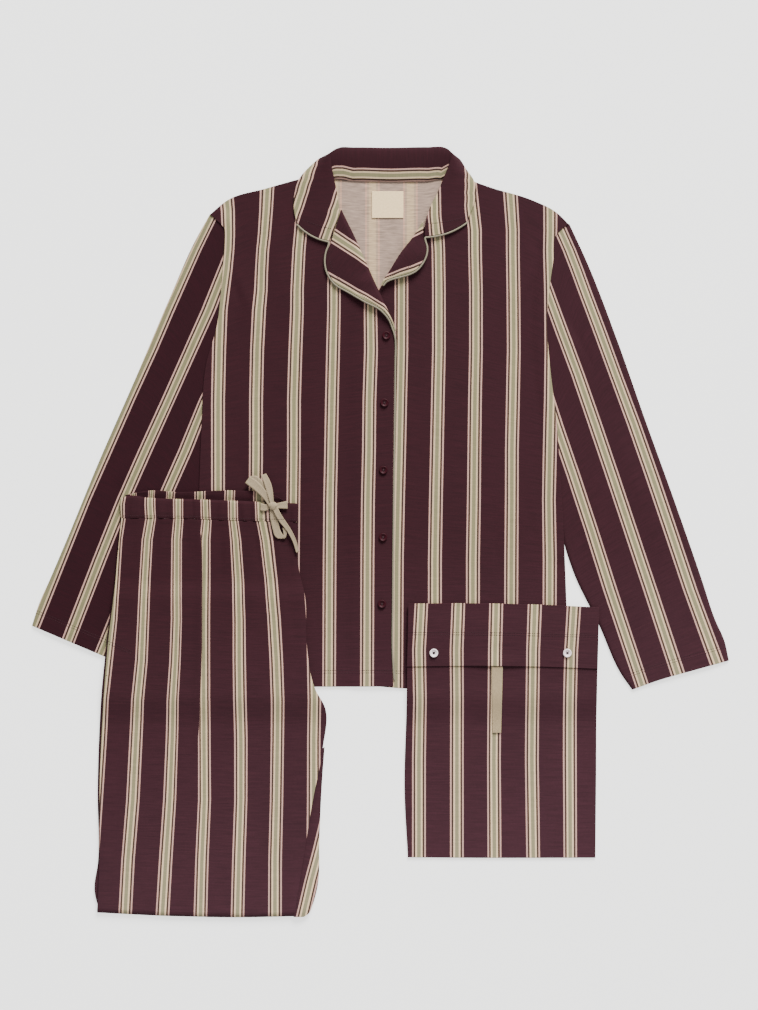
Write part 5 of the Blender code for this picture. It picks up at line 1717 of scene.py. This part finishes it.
def make_leg():
    even = shares(LEG_COLUMNS, (LEG_RIM_SHARE,))
    across = np.sort(np.concatenate((even, TUCK_SHARE + np.array(TUCK_CELLS))))
    plan = patch_plan(LEG_FRONT, LEG_CELL, across=across)
    crease, hidden = at_tuck(plan[..., 1])
    own = plan[:, :1, 0] + (plan[:, -1:, 0] - plan[:, :1, 0]) * TUCK_SHARE
    pull = np.clip(1.0 - abs(across - TUCK_SHARE) / TUCK_PULL, 0.0, 1.0)
    plan[..., 0] += (crease - own) * pull
    points = leg_surface(plan)
    off = plan[..., 0] - crease
    rolled = ROLLED_HEIGHT * np.sqrt(ramp(off, *ROLLED_RISE)) * (1.0 - ramp(off, *ROLLED_FALL))
    trough = round_down(-off, TROUGH_DEPTH, TROUGH_REACH) * ramp(off, *TROUGH_SIDE)
    points[..., 2] += hidden / DEEPEST * (rolled - trough)
    stripes = stripes_across(plan[..., 0], plan[..., 1], LEG_STRIPES)
    stripes = stripes - hidden * ramp(off, *HIDDEN_START) * ramp(off, *HIDDEN_END)
    leg = cloth("cloth_leg_front", points, grain_along(plan, stripes), JERSEY, WRONG_SIDE)
    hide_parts("trousers_front")
    flat_area(plan)
    return leg


def make_leg_back():
    plan = patch_plan(LEG_BACK, STRIP_CELL, STRIP_RIM)
    x, y = plan_axes(plan)
    right = distance_to(LEG_BACK.right, x, y)
    crown = leg_crown(plan) - round_down(right, depth=1.2, reach=6.0)
    crown -= STRIP_DIP * (1.0 - ramp(distance_to(LEG_BACK.left, x, y), *STRIP_DIP_REACH))
    across = stripes_across(x, y, LEG_BACK_STRIPES)
    back = cloth("cloth_leg_back", np.dstack((plan, crown)), grain_along(plan, across),
                 JERSEY, WRONG_SIDE)
    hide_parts("trousers_back")
    flat_area(plan)
    return back


leg = make_leg()
leg_back = make_leg_back()
print("leg:", len(leg.data.polygons), "cells; back:", len(leg_back.data.polygons))

# %% [markdown]
# ## The waistband
# The waist is a casing round an elastic, which gathers the cloth into short uneven ribs. The
# front of the casing lies on top, and is turned down at its ends and its top. Behind it the
# back casing shows, a little higher up. Its cloth is folded over to the inside, so the print
# is seen there too, and it rises as it comes out from under the front casing. The ribs are
# one wave whose length drifts, so that no two are alike.

# %% Waistbands
BAND_CELL = 1.8
BAND_RIM = 0.5
BAND_BELLY = 0.3
BELLY_REACH = 8.0
SLOW_DRIFT = 0.9
SLOW_WAVE = 37.0
QUICK_DRIFT = 0.5
QUICK_WAVE = 9.0
QUICK_SLANT = 14.0
RIB_UNEVEN = 0.2
UNEVEN_WAVE = 23.0
UNEVEN_SLANT = 9.0
FINE_RIBS = 0.35
FINE_TURNS = 2.3
FINE_WAVE = 31.0
FRONT_SHARE = 0.7
FRONT_WAVE = 16.8
BACK_WAVE = 18.4
BACK_WAVE_SHIFT = 5.0
BACK_WAVE_HEIGHT = 0.25
SEAM_SHIFT = 0.45
SEAM_REACH = 2.0
BAND_REST = LEG_TOP + GAP + 0.05 + BAND_WALL - CLOTH / 2.0
BAND_SUNK = 0.35
BACK_LEVEL = 0.55
BACK_RISES = ((1.7, 0.5, 6.5), (1.1, 3.0, 15.0))


def gathers(x, y, wave):
    """Ribs of gathered cloth, uneven in width and height."""
    slow = SLOW_DRIFT * np.sin(x / SLOW_WAVE)
    drift = x / wave * math.tau + slow + QUICK_DRIFT * np.sin(x / QUICK_WAVE + y / QUICK_SLANT)
    uneven = RIB_UNEVEN * np.sin(x / UNEVEN_WAVE + y / UNEVEN_SLANT)
    broad = (1.0 + np.sin(drift)) * (1.0 - RIB_UNEVEN + uneven)
    return broad + FINE_RIBS * np.sin(FINE_TURNS * drift + 1.0) * np.sin(x / FINE_WAVE)


def make_band_front():
    plan = patch_plan(BAND_FRONT, BAND_CELL, BAND_RIM)
    x, y = plan_axes(plan)
    low = distance_to(foot_of(BAND_FRONT), x, y)
    y -= round_down(low, SEAM_SHIFT, SEAM_REACH)
    high = distance_to(head_of(BAND_FRONT), x, y)
    left = distance_to(BAND_FRONT.left, x, y)
    belly = BAND_BELLY * ramp(np.minimum(low, high), 0.0, BELLY_REACH) - BAND_SUNK
    belly -= round_down(high, depth=0.9, reach=2.2) + round_down(low, depth=0.4, reach=1.2)
    belly -= round_down(left, depth=2.2, reach=5.2, power=1.3)
    ribs = BAND_WAVE * FRONT_SHARE * gathers(x, y, FRONT_WAVE)
    points = np.dstack((plan, stack_rest(y) + BAND_REST + belly + ribs))
    across = stripes_across(x, y, BAND_STRIPES)
    band = cloth("cloth_waistband", points, grain_along(plan, across), JERSEY, WRONG_SIDE)
    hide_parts("waistband_front")
    return band


def make_band_back():
    plan = patch_plan(BAND_BACK, BAND_CELL, BAND_RIM)
    x, y = plan_axes(plan)
    above = y > np.interp(x, *np.array(sorted(BAND_FRONT.head)).T)
    clear = np.where(above, distance_to(head_of(BAND_FRONT), x, y), 0.0)
    rise = sum(height * ramp(clear, start, end) for height, start, end in BACK_RISES)
    ribs = BACK_WAVE_HEIGHT * gathers(x + BACK_WAVE_SHIFT, y, BACK_WAVE)
    middle = stack_rest(y) + BACK_LEVEL + rise + ribs
    across = stripes_across(x, y, BAND_BACK_STRIPES)
    band = cloth("cloth_waistband_inside", np.dstack((plan, middle)),
                 grain_along(plan, across), JERSEY, WRONG_SIDE)
    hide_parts("waistband_back")
    return band


band = make_band_front()
band_inside = make_band_back()
print("waistband:", len(band.data.polygons), "and", len(band_inside.data.polygons), "cells")

# %% [markdown]
# ## The drawstring
# A flat cotton tape is tied in a bow: a knot, two ears and two free ends. Tape has no
# stretch, so each band is a ribbon of nearly constant width that leans and turns over. The
# stations across it are the solid's own. The knot is a pinched loop of the same tape, made
# from a ball that is squeezed unevenly all round. All of the tape is left bare of print.

# %% Stations of the bow
Station = namedtuple("Station", "ax ay bx by z")
BOW_EAR_LEFT = (
    Station(-150.5, 36.0, -146.0, 41.0, 2.0),
    Station(-157.5, 45.5, -151.5, 52.0, 2.4),
    Station(-167.0, 54.5, -159.0, 62.5, 2.4),
    Station(-176.0, 61.8, -168.0, 71.0, 1.2),
    Station(-182.4, 66.8, -176.2, 75.6, -0.4),
)
BOW_EAR_UNDER = (
    Station(-150.5, 39.0, -146.0, 44.0, 0.9),
    Station(-158.0, 50.0, -152.0, 58.0, 0.6),
    Station(-167.0, 60.5, -160.5, 71.0, -0.2),
    Station(-174.5, 67.0, -168.0, 76.5, -0.9),
    Station(-181.5, 67.8, -175.6, 76.0, -1.3),
)
BOW_EAR_UP = (
    Station(-148.5, 38.5, -143.5, 39.5, 3.4),
    Station(-150.2, 45.0, -144.0, 46.0, 3.4),
    Station(-153.2, 54.5, -145.0, 56.5, 2.8),
    Station(-157.3, 67.5, -148.8, 70.0, 1.4),
    Station(-161.0, 77.0, -154.2, 79.6, -0.2),
)
BOW_EAR_RIGHT = (
    Station(-143.0, 32.5, -143.0, 38.5, 2.6),
    Station(-134.0, 32.3, -134.0, 40.8, 3.0),
    Station(-125.0, 31.7, -125.2, 42.6, 2.0),
)
BOW_EAR_LOW = (
    Station(-150.0, 31.0, -150.0, 37.0, 1.0),
    Station(-157.0, 28.6, -156.6, 38.4, 0.7),
    Station(-162.0, 29.5, -161.5, 39.5, 0.3),
)
BOW_TAIL_WIDE = (
    Station(-149.0, 33.0, -141.5, 34.0, 1.6),
    Station(-149.2, 24.0, -140.2, 24.5, 1.1),
    Station(-147.5, 13.0, -137.5, 14.0, 0.6),
    Station(-144.5, 1.0, -134.6, 2.5, 0.4),
    Station(-142.2, -5.2, -130.5, -4.6, 0.4),
    Station(-138.5, -8.0, -128.6, -8.6, 0.4),
)
BOW_TAIL_TURN = (
    Station(-132.5, -8.3, -127.6, -7.0, 1.0),
    Station(-130.6, -2.0, -126.3, -1.5, 1.3),
    Station(-132.2, 6.0, -128.0, 7.5, 1.3),
)
BOW_TAIL_NARROW = (
    Station(-146.0, 34.0, -139.5, 36.5, 3.2),
    Station(-142.5, 25.5, -136.0, 29.0, 3.4),
    Station(-136.6, 15.2, -130.6, 19.6, 3.0),
    Station(-126.5, 2.6, -121.6, 6.2, 2.6),
    Station(-117.5, -14.2, -113.3, -11.2, 1.3),
    Station(-113.4, -27.5, -109.8, -26.0, 0.8),
)
KNOT_CENTRE = Spot(-145.0, 36.0)
KNOT_SIZE = (12.5, 11.5, 6.0)
KNOT_RISE = 2.4
KNOT_LOBES = 3.0
KNOT_LOBE_DEPTH = 0.07
KNOT_CREASES = (14.0, 5.0)
KNOT_CREASE_DEPTH = 0.05
TAPE_WALL = 1.0
THIN_TAPE = 0.7
RIBBON_COLUMNS = 7
RIBBON_WIDTH = 9.0
RIBBON_DISH = 0.35
BOW_BASE = STACK_REST + LEG_TOP + GAP + BAND_WALL + BAND_WAVE + GAP + TAPE_WALL / 2.0
print("bow above the surface:", round(BOW_BASE, 2), "mm")


# %% Bow
def make_ribbon(name, table, steps):
    """Ribbon through the stations, a little dished across."""
    rows = smooth_rows(table, shares(steps))
    share = np.linspace(0.0, 1.0, RIBBON_COLUMNS)[None, :, None]
    start = np.dstack((rows[:, 0], rows[:, 1], BOW_BASE + rows[:, 4]))[0][:, None]
    end = np.dstack((rows[:, 2], rows[:, 3], BOW_BASE + rows[:, 4]))[0][:, None]
    points = start * (1.0 - share) + end * share
    points[..., 2] -= RIBBON_DISH * (1.0 - (2.0 * share[..., 0] - 1.0) ** 2)
    along = knots_of(rows[:, :2])[:, None]
    grain = np.dstack(np.broadcast_arrays(share[..., 0] * RIBBON_WIDTH, along))
    ribbon = cloth(name, points, grain, BOW_TAPE, wall=THIN_TAPE)
    length = float(knots_of(rows[:, :2])[-1]) * MM
    width = float(np.mean(np.linalg.norm(rows[:, :2] - rows[:, 2:4], axis=1))) * MM
    return ribbon, length, width


def make_knot():
    bm = bmesh.new()
    bmesh.ops.create_uvsphere(bm, u_segments=40, v_segments=28, radius=0.5)
    for vert in bm.verts:
        x, y, z = vert.co
        lobes = KNOT_LOBE_DEPTH * math.sin(KNOT_LOBES * math.atan2(y, x))
        creases = math.sin(KNOT_CREASES[0] * y + KNOT_CREASES[1] * z)
        pinch = 1.0 + lobes + KNOT_CREASE_DEPTH * creases
        vert.co = Vector((x * KNOT_SIZE[0] * pinch, y * KNOT_SIZE[1] * pinch, z * KNOT_SIZE[2]))
        vert.co += Vector((*KNOT_CENTRE, BOW_BASE + KNOT_RISE))
        vert.co *= MM
    make_smooth(bm)
    knot = keep(bm, "tape_knot", BOW_TAPE)
    return knot


knot = make_knot()
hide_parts("drawstring")
for name, table, steps in (
    ("tape_ear_left", BOW_EAR_LEFT, 40), ("tape_ear_under", BOW_EAR_UNDER, 34),
    ("tape_ear_up", BOW_EAR_UP, 36), ("tape_ear_right", BOW_EAR_RIGHT, 16),
    ("tape_ear_low", BOW_EAR_LOW, 12), ("tape_tail_wide", BOW_TAIL_WIDE, 40),
    ("tape_tail_turn", BOW_TAIL_TURN, 14), ("tape_tail_narrow", BOW_TAIL_NARROW, 50),
):
    ribbon, length, width = make_ribbon(name, table, steps)
    print(name, "length", round(length * 1000), "width", round(width * 1000, 1), "mm")

# %% [markdown]
# ## The pouch
# The pouch is an envelope of the same jersey: a back, a front sewn to it on three sides, and
# a flap that buttons down. A short bare tape hangs from under the flap, and the flap is
# arched where it passes over it. The front bellies out a little under the flap's lower edge.

# %% Pouch panels
FLAP_EDGE = -180.0
BELLY_BELOW = 24.0
FRONT_BELLY = (-110.0, -150.0)
FLAP_BELLY = (-108.0, -150.0)
FLAP_LIP = (-172.0, -180.0)
FLAP_LIP_DROP = 0.35
FLAP_TOP = (-122.0, -99.0)
FLAP_TOP_DROP = (WALL + GAP) * 0.9
TAB_MIDDLE = 157.0
TAB_ARCH = 1.7
TAB_ARCH_WIDTH = 34.0
TAB_ARCH_TOP = (-158.0, -180.0)
POUCH_BACK_CELL = 8.0


def pouch_rest(x, y):
    """Underside of the pouch's front, on its back."""
    below = np.clip((FLAP_EDGE - y) / BELLY_BELOW, 0.0, 1.0)
    belly = FLAP_RISE * (1.0 - below) ** 2 * ramp(y, *FRONT_BELLY)
    return stack_rest(y) + WALL + GAP + swell(POUCH_FOLDS, x, y) + belly


def flap_height(x, y):
    """Underside of the flap, over the front's top edge and down to the back's."""
    over_front = stack_rest(y) + 2.0 * (WALL + GAP)
    over_tab = TAB_ARCH * np.exp(-((x - TAB_MIDDLE) / TAB_ARCH_WIDTH) ** 2)
    over_tab = over_tab * ramp(y, *TAB_ARCH_TOP)
    belly = (FLAP_RISE - FLAP_LIP_DROP * ramp(y, *FLAP_LIP)) * ramp(y, *FLAP_BELLY)
    return over_front + over_tab + belly - FLAP_TOP_DROP * ramp(y, *FLAP_TOP)


def make_pouch_panel(name, patch, rest, node, cell=CELL):
    plan = patch_plan(patch, cell)
    x, y = plan_axes(plan)
    across = stripes_across(x, y, POUCH_STRIPES)
    points = np.dstack((plan, rest(x, y) + WALL / 2.0))
    panel = cloth(name, points, grain_along(plan, across), JERSEY, WRONG_SIDE)
    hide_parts(node)
    flat_area(plan)
    return panel


pouch_back = make_pouch_panel("cloth_pouch_back", POUCH_BACK, lambda x, y: stack_rest(y),
                              "pouch_back", POUCH_BACK_CELL)
pouch_front = make_pouch_panel("cloth_pouch_front", POUCH_FRONT, pouch_rest, "pouch_front")
pouch_flap = make_pouch_panel("cloth_pouch_flap", POUCH_FLAP, flap_height, "pouch_flap")
print("pouch:", [len(panel.data.polygons) for panel in (pouch_back, pouch_front, pouch_flap)],
      "cells in its back, front and flap")


# %% Tab under the flap
TAB_CELL = 1.4
TAB_RIM = 0.3
TAB_RIPPLE = 0.15
TAB_WAVE = 9.0


def make_tab():
    plan = patch_plan(TAB_EDGES, TAB_CELL, TAB_RIM)
    x, y = plan_axes(plan)
    ripple = TAB_RIPPLE * np.sin(y / TAB_WAVE)
    height = pouch_rest(x, y) + WALL + TAB_GAP + TAPE_WALL / 2.0 + ripple
    tab = cloth("tape_tab", np.dstack((plan, height)), plan, TAPE, wall=THIN_TAPE)
    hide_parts("pouch_tab")
    return tab


tab = make_tab()
print("tab:", len(tab.data.polygons), "cells")

# %% [markdown]
# ## The buttons
# A button is turned: its profile is drawn once, in shares of its radius and height, and spun
# about its axis. It has a soft rim, a dished middle and four holes, which a cutter of four
# short rods takes out. A cross of thread fills them. The two on the pouch are a little larger
# and pearly.

# %% Button sizes and places
BUTTON_WIDTH = 11.2
POUCH_BUTTON_WIDTH = 11.6
BUTTON_HEIGHT = 2.4
SHIRT_BUTTONS = (
    Spot(8.0, 266.0),
    Spot(5.5, 175.2),
    Spot(4.0, 84.4),
    Spot(3.5, -6.4),
    Spot(2.0, -96.4),
)
POUCH_BUTTONS = (
    Spot(72.0, -162.5),
    Spot(252.0, -162.5),
)
SHIRT_SEATS = [(spot, float(front_rest("over", np.array([spot.x]), np.array([spot.y]))[0])
                + WALL + GAP, BUTTON_WIDTH) for spot in SHIRT_BUTTONS]
POUCH_SEATS = [(spot, float(flap_height(spot.x, spot.y)) + WALL + GAP, POUCH_BUTTON_WIDTH)
               for spot in POUCH_BUTTONS]
print("buttons sit at", [round(base, 2) for spot, base, width in SHIRT_SEATS + POUCH_SEATS], "mm")


# %% Turning a button
BUTTON_PROFILE = (
    (0.0, 0.0), (0.80, 0.0), (0.93, 0.12), (1.0, 0.42), (0.985, 0.72), (0.93, 0.93),
    (0.85, 1.0), (0.77, 0.95), (0.70, 0.78), (0.60, 0.68), (0.30, 0.62), (0.0, 0.61),
)
BUTTON_STEPS = 40
BUTTON_MERGE = 0.000005
HOLE_REACH = 0.12
HOLE_RADIUS = 0.95
HOLE_SIDES = 10
ROD_LENGTH = 12.0


def spun_button(width, place):
    """Turned button without its holes, with its axis through the place."""
    radius = width / 2.0
    bm = bmesh.new()
    line = [bm.verts.new((radius * out * MM, 0.0, BUTTON_HEIGHT * up * MM))
            for out, up in BUTTON_PROFILE]
    for one, two in zip(line, line[1:]):
        bm.edges.new((one, two))
    bmesh.ops.spin(bm, geom=bm.verts[:] + bm.edges[:], axis=(0, 0, 1), cent=(0, 0, 0),
                   steps=BUTTON_STEPS, angle=math.tau, use_merge=True)
    bmesh.ops.remove_doubles(bm, verts=bm.verts, dist=BUTTON_MERGE)
    bmesh.ops.recalc_face_normals(bm, faces=bm.faces)
    make_smooth(bm)
    bmesh.ops.translate(bm, verts=bm.verts, vec=place)
    return bm


def rods(width, place):
    """The four rods that cut the thread holes."""
    bm = bmesh.new()
    for quarter in range(4):
        angle = math.pi / 4.0 + quarter * math.pi / 2.0
        reach = width * HOLE_REACH * MM
        at = Vector((math.cos(angle) * reach, math.sin(angle) * reach, 0.0)) + Vector(place)
        bmesh.ops.create_cone(bm, cap_ends=True, segments=HOLE_SIDES,
                              radius1=HOLE_RADIUS * MM, radius2=HOLE_RADIUS * MM,
                              depth=ROD_LENGTH * MM, matrix=Matrix.Translation(at))
    return bm


def applied(piece):
    """Bake a piece's modifiers into its own mesh."""
    shape = piece.evaluated_get(bpy.context.evaluated_depsgraph_get())
    mesh = bpy.data.meshes.new_from_object(shape)
    piece.modifiers.clear()
    piece.data = mesh


def make_button(name, seat, finish, node):
    spot, base, width = seat
    place = (spot.x * MM, spot.y * MM, base * MM)
    button = keep(spun_button(width, place), name, finish)
    cutter_mesh = bpy.data.meshes.new("rods")
    bm = rods(width, place)
    bm.to_mesh(cutter_mesh)
    bm.free()
    cutter = bpy.data.objects.new("rods", cutter_mesh)
    bpy.context.collection.objects.link(cutter)
    holes = button.modifiers.new("holes", "BOOLEAN")
    holes.object = cutter
    holes.solver = "EXACT"
    applied(button)
    bpy.data.objects.remove(cutter)
    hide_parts(node)
    return button


for number, seat in enumerate(SHIRT_SEATS, start=1):
    make_button("button_%d" % number, seat, SHIRT_RESIN, "shirt_button_%d" % number)
for number, seat in enumerate(POUCH_SEATS, start=1):
    make_button("button_pouch_%d" % number, seat, POUCH_RESIN, "pouch_button_%d" % number)
print("buttons turned:", len(SHIRT_SEATS) + len(POUCH_SEATS))


# %% Thread crosses
CROSS_LEVEL = BUTTON_HEIGHT * 0.62
CROSS_WIDTH = 0.95
CROSS_HEIGHT = 0.5
SHIRT_CROSS = 0.20
POUCH_CROSS = 0.25


def add_stitch(bm, middle, angle, size):
    """One short soft length of thread, at a place and angle in the plan."""
    turn = Matrix.Rotation(angle, 4, "Z") @ Matrix.Diagonal((*size, 1.0))
    place = Matrix.Translation(Vector(middle) * MM)
    bmesh.ops.create_icosphere(bm, subdivisions=1, radius=MM, matrix=place @ turn)


def make_crosses(name, seats, finish, reach):
    """A cross of thread through the four holes of each button."""
    bm = bmesh.new()
    for spot, base, width in seats:
        for angle in (math.pi / 4.0, -math.pi / 4.0):
            size = (width * reach, CROSS_WIDTH, CROSS_HEIGHT)
            add_stitch(bm, (spot.x, spot.y, base + CROSS_LEVEL), angle, size)
    return keep(bm, name, finish)


make_crosses("thread_shirt_buttons", SHIRT_SEATS, THREAD, SHIRT_CROSS)
make_crosses("thread_pouch_buttons", POUCH_SEATS, DARK_THREAD, POUCH_CROSS)
print("thread crosses:", len(SHIRT_SEATS) + len(POUCH_SEATS))

# %% [markdown]
# ## The stitches
# A hem is held by two parallel rows of small stitches, and so are the cuffs and the flap. One
# row holds the waistband, the collar's rim and each lapel, and short rows bar the trousers'
# fold and a buttonhole of the pouch. Each row is a smooth line in the plan. A ray sent down
# from above finds the cloth under every stitch, so the rows follow whatever they are sewn to.
# A stitch is a short soft ball of thread, drawn out along its row.

# %% Rows of stitches
STITCH = 3.0
STITCH_SIZE = (STITCH * 0.38, 0.36, 0.24)
STITCH_RISE = 0.12
RAY_START = 0.1
STITCH_FACES = 20
COLLAR_ROW = 9
COLLAR_ROW_CELLS = slice(2, FALL_CELLS - 2)
SHIRT_ROWS = (
    ((-92.0, -186.8), (-30.0, -186.4), (15.0, -186.0)),
    ((-92.0, -190.1), (-30.0, -189.7), (15.0, -189.3)),
    ((21.0, -187.0), (33.0, -187.4)),
    ((21.0, -190.3), (33.0, -190.7)),
    ((-464.8, -108.8), (-400.0, -136.0), (-336.5, -162.9)),
    ((-463.8, -105.6), (-399.0, -132.8), (-334.6, -160.1)),
    ((330.0, -197.0), (373.0, -182.2), (419.0, -168.6), (465.5, -156.0)),
    ((328.0, -194.3), (371.8, -179.0), (418.0, -165.3), (464.8, -152.8)),
)
TROUSER_ROWS = (
    ((-347.0, 22.4), (-279.5, 22.4), (-202.5, 19.4), (-113.5, 17.4)),
    ((-357.0, -22.3), (-350.5, -22.3)),
    ((-373.0, -192.4), (-366.5, -192.4)),
)
POUCH_ROWS = (
    ((39.0, -134.6), (150.0, -135.0), (293.0, -138.8)),
    ((39.0, -137.8), (150.0, -138.2), (293.0, -141.4)),
    ((252.4, -147.5), (252.4, -155.5)),
)


def make_stitches(name, rows, finish):
    """Rows of stitches on the topmost cloth, joined in one piece."""
    seen = bpy.context.evaluated_depsgraph_get()
    bm = bmesh.new()
    for row in rows:
        length = knots_of(np.array(row, dtype=float)[:, :2])[-1]
        line = smooth_rows(row, shares(max(3, round(length / STITCH * 2.0))))
        for start, end in zip(line[::2], line[1::2]):
            middle = (start + end) / 2.0
            above = (middle[0] * MM, middle[1] * MM, RAY_START)
            hit, point = bpy.context.scene.ray_cast(seen, above, (0.0, 0.0, -1.0))[:2]
            if hit:
                angle = math.atan2(end[1] - start[1], end[0] - start[0])
                on_cloth = (middle[0], middle[1], point.z / MM + STITCH_RISE)
                add_stitch(bm, on_cloth, angle, STITCH_SIZE)
    return keep(bm, name, finish)


collar_rows = [row[:, :2] for row in (collar_middle[COLLAR_ROW, COLLAR_ROW_CELLS],
                                      collar_middle[-1 - COLLAR_ROW, COLLAR_ROW_CELLS],
                                      left_lapel[6:-4, 4], right_lapel[4:-4, -5])]
bpy.context.view_layer.update()
made = [make_stitches("thread_shirt", [*SHIRT_ROWS, *collar_rows], THREAD),
        make_stitches("thread_trousers", TROUSER_ROWS, THREAD),
        make_stitches("thread_pouch", POUCH_ROWS, THREAD)]
print("stitches:", sum(len(piece.data.polygons) for piece in made) // STITCH_FACES)

# %% [markdown]
# ## The pieces
# All the pieces made above are counted. The cloth must stay inside the box of the solids,
# give or take the little that soft cloth may stand proud.

# %% Count of pieces
print("pieces:", len(PIECES))
